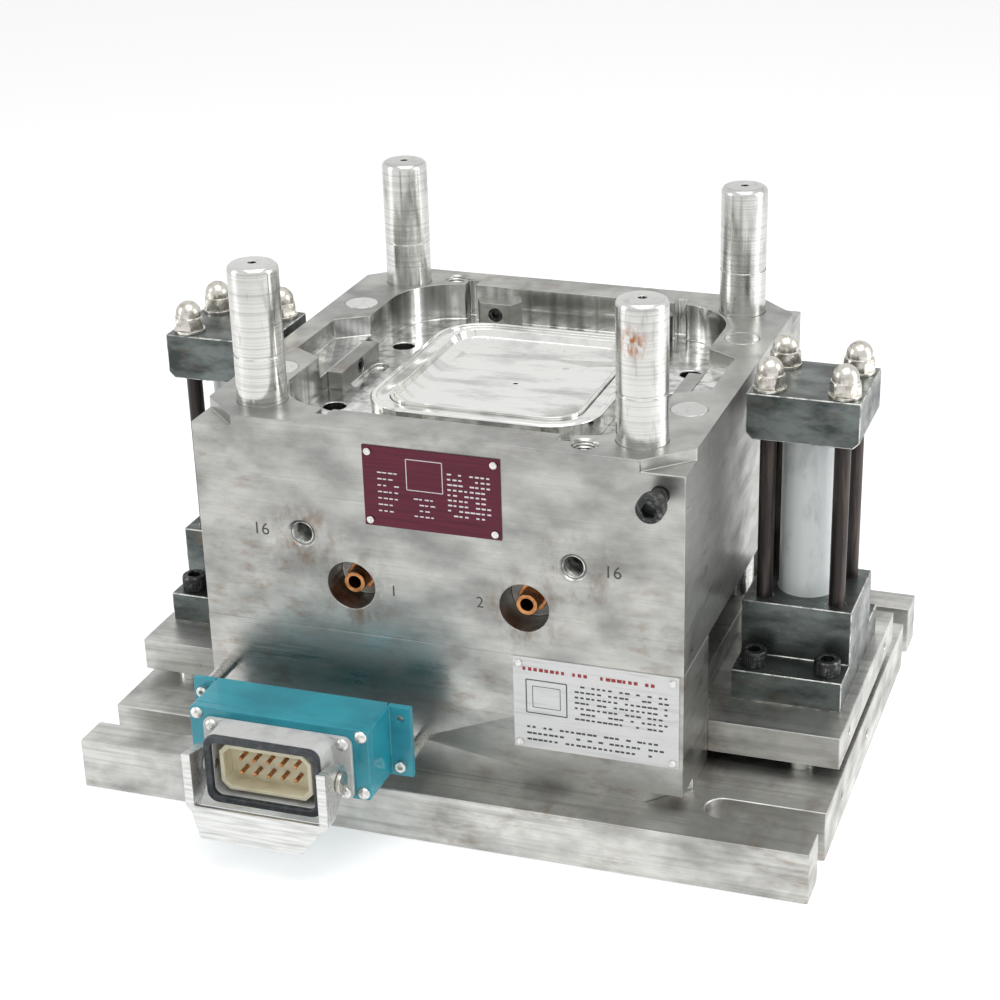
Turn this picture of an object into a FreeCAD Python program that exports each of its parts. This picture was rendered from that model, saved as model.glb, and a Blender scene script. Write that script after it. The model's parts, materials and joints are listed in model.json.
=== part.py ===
"""Hot-runner mould half with reverse ejection, on its clamp plate.

X runs along the front face, Y runs from the front to the back and Z is up. The
origin is the centre of the clamp plate's underside, on the machine platen.
All sizes are in millimetres.
"""
import FreeCAD
import Part
import math
import os

# --- Mould plates --------------------------------------------------------------------------------
block_x = 300.0          # width of the spacers and the cavity plate
block_y = 292.0          # depth of the cavity plate
cavity_h = 132.0
spacer_h = 87.0
spacer_y = 57.0          # depth of one spacer block
base_x = 465.0
base_y = 350.0
base_h = 33.0
pry_x = 26.0             # pry notches at the corners of the parting face
pry_y = 25.0
pry_h = 7.0
spacer_pry = 23.0        # pry notches at the foot of the spacers
slot_w = 22.0            # open-ended clamp slots of the clamp plate
slot_bar = 25.0          # bar left outside each slot
slot_from_block = 12.0   # from the side of the block to the end of a slot

# --- Ejector set ---------------------------------------------------------------------------------
wing_x = 463.0           # ejector plate, from wing to wing
ejector_h = 21.5
ejector_gap = 1.0        # from the ejector plate to each spacer
retainer_x = 280.0
retainer_h = 15.0
button_h = 6.5           # stop buttons, which carry the ejector plate at rest
button_d = 16.0
button_inset = 26.0      # from the wing's end to the outer buttons
button_edge = 12.0       # from the ejector plate's long edge to the buttons
button_pin_d = 8.0
button_pin = 8.0
stroke = 40.0            # travel of the ejector set
running = 0.05           # radial clearance of a running fit
tight = 0.02             # radial clearance of a seated fit
face_gap = 0.3           # between curved faces of pieces that slide past

# --- Guiding -------------------------------------------------------------------------------------
leader_d = 30.0
leader_at = 117.0        # leader pins, from both middle planes
leader_out = 84.0        # height above the parting face
leader_head_d = 35.0
leader_head = 8.0
leader_groove = 29.0     # oil groove, above the parting face
groove_w = 1.6
groove_deep = 0.6
return_d = 22.0
return_x = 130.0
return_y = 64.0
return_head_d = 28.0
guide_d = 20.0           # ejector guide pins
guide_x = 105.0
guide_seat = 14.0        # depth of each end in its plate
bush_wall = 5.0

# --- Pocket and moulding pieces ------------------------------------------------------------------
pocket_x = 229.0
pocket_y = 241.0
pocket_r = 42.0
pocket_deep = 25.0
notch_out = 20.0         # side notches: reach into the wall
notch_half = 28.0        # half length at the outer wall
notch_flare = 13.0       # extra half length at the pocket
notch_deep = 13.5
relief_x = 74.0          # relief slots beside the corners
relief_w = 7.5
relief_out = 9.0
lobe_x = 98.5            # deep screws in the pocket's corners
lobe_y = 57.0
lobe_hole_d = 14.0
lobe_head_deep = 22.0
ring_x = 148.0           # stripper ring round the core
ring_y = 166.0
ring_r = 32.0
ring_band = 12.0
ring_h = 13.0
core_seat = 12.0         # depth of the core's foot below the pocket floor
dish_wall = 9.0          # width of the sloping wall round the dish
dish_deep = 8.5
gate_d = 3.0
vent_d = 4.0
vent_x = 22.0
vent_y = 34.0
oblong_x = 98.5          # oblong recess in the pocket floor
oblong_w = 11.0
oblong_l = 44.0
oblong_deep = 3.0
wedge_x = 32.0           # wear blocks on the front and back walls
wedge_h = 16.0
wedge_t = 10.0
wedge_at = 53.0
wear_seat = 6.5          # depth of the screw heads' seats in the wear pieces
wear_in = 10.5           # length of the wear blocks' screws in the wall
wear_short = 8.5         # and of the side wear plates' screws
plate_len = 60.0         # wear plates under the side notches
plate_t = 10.0
push_d = 10.0
push_head_d = 15.0
push_head = 6.0
push_y = 40.0
push_thread = 6.0

# --- Hot runner ----------------------------------------------------------------------------------
ring_seat_d = 100.0      # seat for the machine's locating ring
ring_seat_deep = 6.0
nozzle_head_d = 60.0
nozzle_head = 18.0
nozzle_d = 28.0
heater_wall = 4.0
heater_from = 10.0       # heater's foot above the clamp plate
nozzle_room = 4.0        # air gap round the heater
tip_h = 14.0
sprue_d = 8.0

# --- Support and screws --------------------------------------------------------------------------
pillar_d = 38.0
pillar_x = 38.0
pillar_y = 50.0
frame_screw_x = 75.0
rod_screw_in = 18.0      # screws from below, in the pillars and piston rods
screw_grip = 26.0        # length of the frame screws in the cavity plate
core_screw_x = 32.0
core_screw_y = 50.0
plate_screw_x = 95.0
plate_screw_y = 68.0
m16_top_x = 87.5         # tapped holes in the parting face
m16_top_y = 131.0
m16_bore = 14.0          # core size of an M16 thread
m16_mouth = 17.5         # countersunk mouth of an M16 hole
m16_deep = 30.0
m16_front_x = 84.0
m16_front_z = 61.0       # above the cavity plate's underside
end_bore = 6.8           # core size of an M8 thread
end_deep = 20.0
end_base_y = 79.0
end_wing_y = 58.0

# --- Cooling -------------------------------------------------------------------------------------
water_x = 54.0
water_z = 31.0           # above the cavity plate's underside
water_bore = 10.0
water_recess_d = 30.0
water_recess = 22.0
water_cross_y = 88.0
nipple_d = 13.0
nipple_bore = 8.0
nipple_short = 5.0       # nipple's end below the front face
plug_len = 10.0

# --- Name plates and strap screw -----------------------------------------------------------------
tag_t = 1.0
chart_w = 84.0
chart_h = 50.0
chart_z = 98.0           # centre, above the cavity plate's underside
data_w = 101.0
data_h = 60.5
data_edge = 2.5          # from the block's right side
rivet_d = 4.5
rivet_h = 1.2
rivet_in = 3.6
strap_x = 135.6
strap_z = 112.5          # above the cavity plate's underside
strap_out = 13.0         # gap under the strap screw's head
strap_in = 18.0

# --- Tie-rod cylinders ---------------------------------------------------------------------------
cap_x = 69.0
cap_y = 64.0
cap_gap = 6.0            # from the block's side to the cylinder
flange_y = 114.0
flange_h = 20.0
front_cap_h = 36.0
rear_cap_h = 29.0
barrel_len = 107.0       # visible length between the caps
barrel_d = 36.0
barrel_bore = 28.0
barrel_seat = 3.0
tie_d = 10.0
tie_x = 22.7
tie_y = 21.0
tie_grip = 15.0
washer_d = 20.0
washer_t = 2.0
nut_af = 17.0
nut_hex = 8.0
nut_h = 18.0
bolt_x = 23.0
bolt_y = 45.0
bolt_in = 14.0           # length of the flange bolts in the wing
rod_d = 18.0
piston_h = 20.0
piston_rest = 3.0        # piston to rear cap at rest
port_d = 11.8
port_deep = 14.0

# --- Junction box --------------------------------------------------------------------------------
box_x = 113.0
box_z = 46.5
box_left = 17.5          # from the block's left side to the box
box_foot = 14.0          # from the clamp plate to the box
box_y = 36.0
box_off = 30.0           # length of the stand-offs
box_wall = 3.0
cover_t = 6.0
lug_w = 13.5
lug_t = 4.0
lug_hole = 4.4
lug_in = 7.8
standoff_d = 8.0
box_screw_in = 4.6
box_screw = 4.0
cover_screw_in = 8.0     # length of the cover's screws in the box
lug_screw_in = 10.0      # length of the lugs' screws in the stand-offs
housing_screw_in = 5.0   # length of the housing's screws in the cover

# --- Connector -----------------------------------------------------------------------------------
plug_x = 56.5            # centre, from the box's left side
plug_z = 21.0            # centre, above the box's foot
flange_w = 94.0
flange_z = 41.0
flange_t = 3.0
hole_w = 83.0
hole_z = 32.0
hood_x = 72.5
hood_z = 44.0
hood_r = 7.0
hood_wall = 4.2
hood_out = 18.0
gasket_t = 4.0
insert_x = 58.0
insert_z = 30.0
insert_len = 26.0
ear_x = 63.0
ear_z = 20.0
ear_t = 3.0
chamber_deep = 11.0
chamber_wall = 2.6
contact_pitch = 8.6
contact_row = 4.6
contact_d = 2.5
contact_out = 8.0
lever_gap = 3.0
lever_t = 5.6
lever_front = 11.0       # lever's front face ahead of the gasket
lever_up = 14.5          # top of the arms, above the pivot
lever_down = 23.5        # foot of the arms, below the pivot
lever_foot = 8.0         # depth of the arms at the foot
lever_eye_r = 10.5       # rounded back of the arms, round the pivot
lever_plate = 3.0
lever_bar = 4.0
lever_corner = 5.0
lever_tab = 18.0
tab_top = 84.0
tab_foot = 64.0
pivot_back = 4.0         # pivot behind the hood's rim
pivot_d = 6.0
pivot_head_d = 13.0
pivot_head = 2.5
pivot_slack = 0.2
boss_d = 11.0

# --- Levels and places worked out from the sizes above -------------------------------------------
z_cavity = base_h + spacer_h
z_top = z_cavity + cavity_h
z_floor = z_top - pocket_deep
z_ejector = base_h + button_h
z_retainer = z_ejector + ejector_h
z_stop = z_retainer + retainer_h
z_ring = z_floor + ring_h
z_dish = z_ring - dish_deep
front = -block_y / 2
right = block_x / 2
ejector_y = block_y - 2 * spacer_y - 2 * ejector_gap
spacer_mid = (block_y - spacer_y) / 2
cyl_x = right + cap_gap + cap_x / 2
z_flange = z_retainer + flange_h
z_barrel = z_flange + front_cap_h
z_rear = z_barrel + barrel_len
z_cyl_top = z_rear + rear_cap_h
push_x = (ring_x - ring_band) / 2
inner_x = ring_x - 2 * ring_band
inner_y = ring_y - 2 * ring_band
inner_r = ring_r - ring_band
box_x0 = -right + box_left
box_x1 = box_x0 + box_x
box_z0 = base_h + box_foot
box_z1 = box_z0 + box_z
box_back = front - box_off
box_front = box_back - box_y
conn_x = box_x0 + plug_x
conn_z = box_z0 + plug_z
hood_base = box_front - flange_t
hood_rim = hood_base - hood_out
gasket_rim = hood_rim - gasket_t
pivot_y = hood_rim + pivot_back
lever_y = gasket_rim - lever_front

# Cap screws: thread size to head diameter and socket size; a head is as high as the thread.
cap_head = {4: 7.0, 5: 8.5, 6: 10.0, 8: 13.0, 10: 16.0, 16: 24.0}
cap_socket = {4: 3.0, 5: 4.0, 6: 5.0, 8: 6.0, 10: 8.0, 16: 14.0}
head_room = 1.0          # a counterbore's diameter over its screw head


# --- Shapes that many pieces share ---------------------------------------------------------------
def span(x0, x1, y0, y1, z0, z1):
    """A box between six faces."""
    return Part.makeBox(x1 - x0, y1 - y0, z1 - z0, FreeCAD.Vector(x0, y0, z0))


def plate(x_len, y_len, z0, z1, x=0.0, y=0.0):
    """A box centred in plan on x, y."""
    return span(x - x_len / 2, x + x_len / 2, y - y_len / 2, y + y_len / 2, z0, z1)


def post(d, z0, z1, x=0.0, y=0.0):
    """An upright round bar or hole."""
    return Part.makeCylinder(d / 2, z1 - z0, FreeCAD.Vector(x, y, z0))


def bar_y(d, y0, y1, x, z):
    """A round bar or hole along Y."""
    return Part.makeCylinder(d / 2, y1 - y0, FreeCAD.Vector(x, y0, z), FreeCAD.Vector(0, 1, 0))


def bar_x(d, x0, x1, y, z):
    """A round bar or hole along X."""
    return Part.makeCylinder(d / 2, x1 - x0, FreeCAD.Vector(x0, y, z), FreeCAD.Vector(1, 0, 0))


def four(x, y):
    """The four places at plus and minus x and y."""
    return [(sx * x, sy * y) for sx in (-1, 1) for sy in (-1, 1)]


def outline(points):
    """A closed wire through points, each an (x, y, z) tuple."""
    vectors = [FreeCAD.Vector(*p) for p in points]
    return Part.makePolygon(vectors + vectors[:1])


def prism(points, direction):
    """A solid swept from a flat outline along a direction."""
    return Part.Face(outline(points)).extrude(FreeCAD.Vector(*direction))


def round_wire(x_len, y_len, r, z, x=0.0, y=0.0):
    """A rounded rectangle at height z."""
    hx, hy = x_len / 2 - r, y_len / 2 - r
    edges = []
    corners = [(hx, -hy, -90), (hx, hy, 0), (-hx, hy, 90), (-hx, -hy, 180)]
    ends = []
    for cx, cy, start in corners:
        centre = FreeCAD.Vector(x + cx, y + cy, z)
        arc = Part.makeCircle(r, centre, FreeCAD.Vector(0, 0, 1), start, start + 90)
        ends.append((arc, arc.valueAt(arc.FirstParameter), arc.valueAt(arc.LastParameter)))
    for i, (arc, first, last) in enumerate(ends):
        edges.append(arc)
        edges.append(Part.makeLine(last, ends[(i + 1) % 4][1]))
    return Part.Wire(edges)


def round_plate(x_len, y_len, r, z0, z1, x=0.0, y=0.0):
    """A plate with rounded upright corners."""
    return Part.Face(round_wire(x_len, y_len, r, z0, x, y)).extrude(FreeCAD.Vector(0, 0, z1 - z0))


def hexagon(af, z0, z1):
    """A hexagonal prism on the Z axis."""
    r = af / math.sqrt(3)
    points = [(r * math.cos(math.radians(a)), r * math.sin(math.radians(a)), z0)
              for a in range(0, 360, 60)]
    return prism(points, (0, 0, z1 - z0))


def stand_to_front(shape):
    """Turn a shape drawn upright so that its top faces the front."""
    turned = shape.copy()
    turned.rotate(FreeCAD.Vector(0, 0, 0), FreeCAD.Vector(1, 0, 0), 90)
    return turned


def moved(shape, x, y, z):
    """A copy of a shape, moved."""
    copy = shape.copy()
    copy.translate(FreeCAD.Vector(x, y, z))
    return copy


def cap_screw(size, length):
    """A socket head cap screw whose head stands on z = 0, with its shank below."""
    head = post(cap_head[size], 0, size)
    head = head.makeChamfer(size * 0.08, [head.Edges[0]])
    shank = post(size, -length, 0)
    socket = hexagon(cap_socket[size], size * 0.45, size + 1)
    return head.fuse(shank).cut(socket).removeSplitter()


def screw_up(size, length, x, y, z):
    """A cap screw with its head upwards, seated at z."""
    return moved(cap_screw(size, length), x, y, z)


def screw_down(size, length, x, y, z):
    """A cap screw driven from below, with its head's seat at z."""
    screw = cap_screw(size, length)
    screw.rotate(FreeCAD.Vector(0, 0, 0), FreeCAD.Vector(1, 0, 0), 180)
    return moved(screw, x, y, z)


def screw_front(size, length, x, y, z):
    """A cap screw driven from the front, with its head's seat at y."""
    return moved(stand_to_front(cap_screw(size, length)), x, y, z)


def pan_screw_front(size, length, x, y, z):
    """A round-headed screw driven from the front, with its head's seat at y."""
    head_d = size * 2.0
    head_h = size * 0.65
    ball = (head_d ** 2 / 4 + head_h ** 2) / (2 * head_h)
    dome = Part.makeSphere(ball, FreeCAD.Vector(0, 0, head_h - ball))
    dome = dome.common(post(head_d, 0, head_h))
    screw = dome.fuse(post(size, -length, 0)).removeSplitter()
    return moved(stand_to_front(screw), x, y, z)


def group(solids):
    """Several separate solids that share one node."""
    return Part.makeCompound(solids)


# --- Clamp plate and spacers ---------------------------------------------------------------------
frame_screws_at = four(frame_screw_x, spacer_mid) + [(0.0, -spacer_mid), (0.0, spacer_mid)]
frame_head_deep = 17.0
rod_screw_deep = 11.0
cylinders_at = (-cyl_x, cyl_x)
buttons_at = (four(wing_x / 2 - button_inset, ejector_y / 2 - button_edge)
              + four(plate_screw_x - button_inset, ejector_y / 2 - button_edge))


def clamp_slots():
    """The four open-ended slots of the clamp plate."""
    slots = []
    inner = right + slot_from_block + slot_w / 2
    mid_y = base_y / 2 - slot_bar - slot_w / 2
    for side in (-1, 1):
        for y in (-mid_y, mid_y):
            x0, x1 = sorted((side * inner, side * (base_x / 2 + 1)))
            slots.append(span(x0, x1, y - slot_w / 2, y + slot_w / 2, -1, base_h + 1))
            slots.append(post(slot_w, -1, base_h + 1, side * inner, y))
    return slots


def base_clamp_plate():
    body = plate(base_x, base_y, 0, base_h)
    holes = clamp_slots()
    holes.append(post(ring_seat_d, -1, ring_seat_deep))
    holes.append(post(nozzle_head_d + 2 * tight, 0, ring_seat_deep + nozzle_head))
    holes.append(post(nozzle_d + 2 * heater_wall, 0, base_h + 1))
    for x, y in frame_screws_at:
        holes.append(post(16 + head_room, 0, base_h + 1, x, y))
        holes.append(post(cap_head[16] + head_room, -1, frame_head_deep, x, y))
    for x in cylinders_at:
        holes.append(post(10 + head_room, 0, base_h + 1, x, 0))
        holes.append(post(cap_head[10] + head_room, -1, rod_screw_deep, x, 0))
        side = math.copysign(1, x)
        for y in (-end_base_y, 0.0):
            x0, x1 = sorted((side * (base_x / 2 - end_deep), side * (base_x / 2 + 1)))
            holes.append(bar_x(end_bore, x0, x1, y, base_h / 2))
    for x, y in buttons_at:
        holes.append(post(button_pin_d, base_h - button_pin, base_h + 1, x, y))
    for x in (-guide_x, guide_x):
        holes.append(post(guide_d, base_h - guide_seat, base_h + 1, x, 0))
    for x, y in four(pillar_x, pillar_y):
        holes.append(post(10 + head_room, 0, base_h + 1, x, y))
        holes.append(post(cap_head[10] + head_room, -1, rod_screw_deep, x, y))
    return body.cut(holes)


def pry_corner(x, y, z, reach_x, reach_y, height):
    """A triangular corner notch at the corner x, y, from z upwards."""
    sx, sy = math.copysign(1, x), math.copysign(1, y)
    points = [(x + sx, y + sy, z), (x - sx * reach_x, y + sy, z), (x - sx * reach_x, y, z),
              (x, y - sy * reach_y, z), (x + sx, y - sy * reach_y, z)]
    return prism(points, (0, 0, height))


def spacer_block(side):
    """The front (-1) or back (1) spacer block."""
    mid = side * spacer_mid
    body = plate(block_x, spacer_y, base_h, z_cavity, 0, mid)
    holes = [post(16 + head_room, base_h - 1, z_cavity + 1, x, mid)
             for x, y in frame_screws_at if y * side > 0]
    for x in (-right, right):
        holes.append(pry_corner(x, side * block_y / 2, base_h - 1, spacer_pry, spacer_pry,
                                pry_h + 1))
    if side < 0:
        for x, z in standoffs_at:
            holes.append(bar_y(5, front - 1, front + 9, x, z))
    return body.cut(holes)


def stop_buttons():
    solids = []
    for x, y in buttons_at:
        head = post(button_d, base_h, z_ejector, x, y)
        pin = post(button_pin_d, base_h - button_pin, base_h, x, y)
        solids.append(head.fuse(pin).removeSplitter())
    return group(solids)


def frame_screws():
    length = base_h - frame_head_deep + spacer_h + screw_grip
    return group([screw_down(16, length, x, y, frame_head_deep) for x, y in frame_screws_at])


def support_pillars():
    solids = []
    for x, y in four(pillar_x, pillar_y):
        body = post(pillar_d, base_h, z_cavity, x, y)
        solids.append(body.cut(post(10, base_h - 1, base_h + rod_screw_in + 2, x, y)))
    return group(solids)


def clamp_plate_screws():
    """Screws from below, into the support pillars and the piston rods."""
    length = base_h - rod_screw_deep + rod_screw_in
    return group([screw_down(10, length, x, y, rod_screw_deep)
                  for x, y in four(pillar_x, pillar_y) + [(x, 0.0) for x in cylinders_at]])


# --- Cavity plate --------------------------------------------------------------------------------
def side_notch(side):
    """The tapered notch in the pocket's left (-1) or right (1) wall."""
    wall = side * pocket_x / 2
    outer = wall + side * notch_out
    inner = wall - side * 1.0
    wide = notch_half + notch_flare
    z = z_top - notch_deep
    points = [(inner, -wide, z), (wall, -wide, z), (outer, -notch_half, z),
              (outer, notch_half, z), (wall, wide, z), (inner, wide, z)]
    return prism(points, (0, 0, notch_deep + 1))


def pocket():
    """Everything that is milled from the parting face."""
    tools = [round_plate(pocket_x, pocket_y, pocket_r, z_floor, z_top + 1)]
    tools += [side_notch(-1), side_notch(1)]
    for x, side in four(relief_x, 1):
        wall = side * pocket_y / 2
        y0, y1 = sorted((wall - side * 12.0, wall + side * relief_out))
        tools.append(span(x - relief_w / 2, x + relief_w / 2, y0, y1, z_floor, z_top + 1))
    for x in (-oblong_x, oblong_x):
        tools.append(round_plate(oblong_w, oblong_l, oblong_w / 2 - 0.01,
                                 z_floor - oblong_deep, z_floor + 1, x, 0))
    tools.append(round_plate(inner_x, inner_y, inner_r, z_floor - core_seat, z_floor + 1))
    return tools


def m16_hole():
    """A tapped hole with a countersunk mouth, from z = 0 downwards."""
    lead = (m16_mouth - m16_bore) / 2
    mouth = Part.makeCone(m16_bore / 2, m16_mouth / 2, lead, FreeCAD.Vector(0, 0, -lead))
    return post(m16_bore, -m16_deep, 1).fuse(mouth)


def cavity_plate():
    body = plate(block_x, block_y, z_cavity, z_top)
    body = body.cut([pry_corner(x, y, z_top - pry_h, pry_x, pry_y, pry_h + 1)
                     for x, y in four(right, block_y / 2)])
    body = body.cut(pocket())
    holes = []
    for x, y in four(leader_at, leader_at):
        holes.append(post(leader_d, z_cavity - 1, z_top + 1, x, y))
        holes.append(post(leader_head_d, z_cavity - 1, z_cavity + leader_head, x, y))
    for x, y in four(return_x, return_y):
        holes.append(post(return_d + 2 * running, z_cavity - 1, z_top + 1, x, y))
    for x, y in four(push_x, push_y):
        holes.append(post(push_d + 2 * running, z_cavity - 1, z_floor + 1, x, y))
    for x, y in four(lobe_x, lobe_y):
        holes.append(post(lobe_hole_d, z_floor - lobe_head_deep - 8, z_floor + 1, x, y))
        holes.append(post(8, z_cavity + 20, z_floor, x, y))
    for x, y in ((m16_top_x, -m16_top_y), (-m16_top_x, m16_top_y)):
        holes.append(moved(m16_hole(), x, y, z_top))
    for x in (-m16_front_x, m16_front_x):
        holes.append(moved(stand_to_front(m16_hole()), x, front, z_cavity + m16_front_z))
    for x, y in frame_screws_at:
        holes.append(post(16, z_cavity - 1, z_cavity + screw_grip + 4, x, y))
    for x in (-guide_x, guide_x):
        holes.append(post(guide_d, z_cavity - 1, z_cavity + guide_seat, x, 0))
    for x, y in four(core_screw_x, core_screw_y):
        holes.append(post(8 + head_room, z_cavity, z_floor, x, y))
        holes.append(post(cap_head[8] + head_room, z_cavity - 1, core_screw_z, x, y))
    holes.append(post(nozzle_d + 2 * (heater_wall + nozzle_room), z_cavity - 1, z_floor))
    holes.append(bar_y(10, front - 1, front + strap_in, strap_x, z_cavity + strap_z))
    for x in (-wedge_at, wedge_at):
        for side in (-1, 1):
            wall = side * pocket_y / 2
            y0, y1 = sorted((wall, wall + side * (wear_in + 1.5)))
            holes.append(bar_y(6, y0, y1, x, z_floor + wedge_h / 2))
    for side in (-1, 1):
        x0, x1 = sorted((side * (pocket_x / 2 - 1), side * (pocket_x / 2 + wear_short + 1.5)))
        holes.append(bar_x(6, x0, x1, 0, z_floor + plate_h / 2))
    return body.cut(holes + water_channels())


core_screw_z = z_cavity + 40.0
plate_h = pocket_deep - notch_deep


def water_channels():
    """Two drillings from the front, joined by one from the left side."""
    z = z_cavity + water_z
    holes = []
    for x in (-water_x, water_x):
        holes.append(bar_y(water_recess_d, front - 1, front + water_recess, x, z))
        holes.append(bar_y(water_bore, front, water_cross_y, x, z))
    holes.append(bar_x(water_bore, -right - 1, water_x, water_cross_y, z))
    return holes


def water_nipple(x):
    """A short brass hose nipple in its recess."""
    z = z_cavity + water_z
    seat = front + water_recess
    tip = front + nipple_short
    body = bar_y(nipple_d, tip, seat, x, z)
    collar = stand_to_front(hexagon(nipple_d + 4, 0, 5))
    body = body.fuse(moved(collar, x, seat, z))
    body = body.fuse(bar_y(water_bore, seat, seat + 12, x, z))
    body = body.cut(bar_y(nipple_bore, tip - 1, seat + 13, x, z))
    return body.removeSplitter()


def water_plug():
    return bar_x(water_bore, -right, -right + plug_len, water_cross_y, z_cavity + water_z)


def leader_pin(x, y):
    """A headed leader pin with a rounded nose, an oil groove and a centre hole."""
    tip = z_top + leader_out
    r = leader_d / 2
    nose = 4.0
    z_groove = z_top + leader_groove
    flat = r - nose
    bend = nose * math.sqrt(0.5)
    head_r = leader_head_d / 2
    inner = r - groove_deep
    low = [(0, z_cavity), (head_r, z_cavity), (head_r, z_cavity + leader_head),
           (r, z_cavity + leader_head), (r, z_groove), (inner, z_groove),
           (inner, z_groove + groove_w), (r, z_groove + groove_w), (r, tip - nose)]
    start = [FreeCAD.Vector(x + a, y, z) for a, z in low]
    arc = Part.Arc(start[-1],
                   FreeCAD.Vector(x + flat + bend, y, tip - nose + bend),
                   FreeCAD.Vector(x + flat, y, tip)).toShape()
    end = [FreeCAD.Vector(x + flat, y, tip), FreeCAD.Vector(x, y, tip), start[0]]
    edges = Part.makePolygon(start).Edges + [arc] + Part.makePolygon(end).Edges
    body = Part.Face(Part.Wire(edges)).revolve(FreeCAD.Vector(x, y, 0),
                                              FreeCAD.Vector(0, 0, 1), 360)
    return body.cut(post(5.0, tip - 8, tip + 1, x, y))


def cavity_screws():
    """Deep screws in the pocket's corners."""
    seat = z_floor - lobe_head_deep - 8
    return group([screw_up(8, seat - z_cavity - 20, x, y, seat) for x, y in four(lobe_x, lobe_y)])


def wear_blocks():
    """Wear blocks on the pocket's front and back walls."""
    solids = []
    for x, side in four(wedge_at, 1):
        wall = side * pocket_y / 2
        face = wall - side * wedge_t
        lean = 5.0
        z0, z1 = z_floor, z_floor + wedge_h
        points = [(x - wedge_x / 2, wall, z0), (x + wedge_x / 2, wall, z0),
                  (x + wedge_x / 2 - lean, face, z0), (x - wedge_x / 2 + lean, face, z0)]
        body = prism(points, (0, 0, z1 - z0))
        y0, y1 = sorted((face, wall))
        z = z_floor + wedge_h / 2
        body = body.cut(bar_y(6, y0 - 1, y1 + 1, x, z))
        seat0, seat1 = sorted((face - side, face + side * wear_seat))
        solids.append(body.cut(bar_y(10, seat0, seat1, x, z)))
    return group(solids)


def wear_screws():
    """Screws of the wear blocks and the side wear plates."""
    solids = []
    z = z_floor + wedge_h / 2
    for x, side in four(wedge_at, 1):
        seat = side * (pocket_y / 2 - wedge_t + wear_seat)
        screw = stand_to_front(cap_screw(6, wedge_t - wear_seat + wear_in))
        if side < 0:
            screw.rotate(FreeCAD.Vector(0, 0, 0), FreeCAD.Vector(0, 0, 1), 180)
        solids.append(moved(screw, x, seat, z))
    for side in (-1, 1):
        screw = cap_screw(6, plate_t - wear_seat + wear_short)
        screw.rotate(FreeCAD.Vector(0, 0, 0), FreeCAD.Vector(0, 1, 0), -side * 90)
        seat = side * (pocket_x / 2 - plate_t + wear_seat)
        solids.append(moved(screw, seat, 0, z_floor + plate_h / 2))
    return group(solids)


def side_wear_plates():
    """Wear plates against the side walls, level with the notches' floors."""
    solids = []
    for side in (-1, 1):
        wall = side * pocket_x / 2
        face = wall - side * plate_t
        x0, x1 = sorted((wall, face))
        body = span(x0, x1, -plate_len / 2, plate_len / 2, z_floor, z_floor + plate_h)
        body = body.cut(bar_x(6, x0 - 1, x1 + 1, 0, z_floor + plate_h / 2))
        seat0, seat1 = sorted((face - side, face + side * wear_seat))
        solids.append(body.cut(bar_x(10, seat0, seat1, 0, z_floor + plate_h / 2)))
    return group(solids)


# --- Core and hot runner -------------------------------------------------------------------------
def core_insert():
    """The fixed core, with a dished top and the gate at its centre."""
    gap = 2 * face_gap
    body = round_plate(inner_x, inner_y, inner_r, z_floor - core_seat, z_floor)
    body = body.fuse(round_plate(inner_x - gap, inner_y - gap, inner_r - face_gap,
                                 z_floor, z_ring))
    low = round_wire(inner_x - 2 * dish_wall, inner_y - 2 * dish_wall, inner_r - dish_wall / 2,
                     z_dish)
    bend = dish_wall * 0.35
    mid = round_wire(inner_x - 2 * bend, inner_y - 2 * bend, inner_r - bend / 2,
                     z_dish + dish_deep * 0.45)
    rim = dish_wall * 0.22
    high = round_wire(inner_x - 2 * rim, inner_y - 2 * rim, inner_r - rim / 2, z_ring)
    body = body.cut(Part.makeLoft([low, mid], True, True))
    body = body.cut(Part.makeLoft([mid, high], True, True))
    body = body.removeSplitter()
    holes = [post(nozzle_d, z_floor - core_seat - 1, z_floor - tip_h / 2)]
    holes.append(Part.makeCone(nozzle_d / 2, gate_d / 2, z_dish - 1.5 - (z_floor - tip_h / 2),
                               FreeCAD.Vector(0, 0, z_floor - tip_h / 2)))
    holes.append(post(gate_d, z_dish - 2, z_dish + 1))
    holes.append(post(vent_d, z_floor - core_seat - 1, z_dish + 1, vent_x, vent_y))
    for x, y in four(core_screw_x, core_screw_y):
        holes.append(post(8, z_floor - core_seat - 1, z_floor, x, y))
    return body.cut(holes)


def core_screws():
    length = z_floor - core_seat + 10 - core_screw_z
    return group([screw_down(8, length, x, y, core_screw_z)
                  for x, y in four(core_screw_x, core_screw_y)])


def stripper_ring():
    """The moving ring round the core that pushes the moulding off."""
    body = round_plate(ring_x, ring_y, ring_r, z_floor, z_ring)
    body = body.makeChamfer(1.2, [e for e in body.Edges
                                  if abs(e.BoundBox.ZMin - z_ring) < 0.01])
    body = body.cut(round_plate(inner_x, inner_y, inner_r, z_floor - 1, z_ring + 1))
    lip = round_plate(ring_x - 8, ring_y - 8, ring_r - 4, z_ring - 1.6, z_ring + 1)
    body = body.cut(lip)
    return body.cut([post(push_thread, z_floor - 1, z_floor + 8, x, y)
                     for x, y in four(push_x, push_y)])


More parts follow.
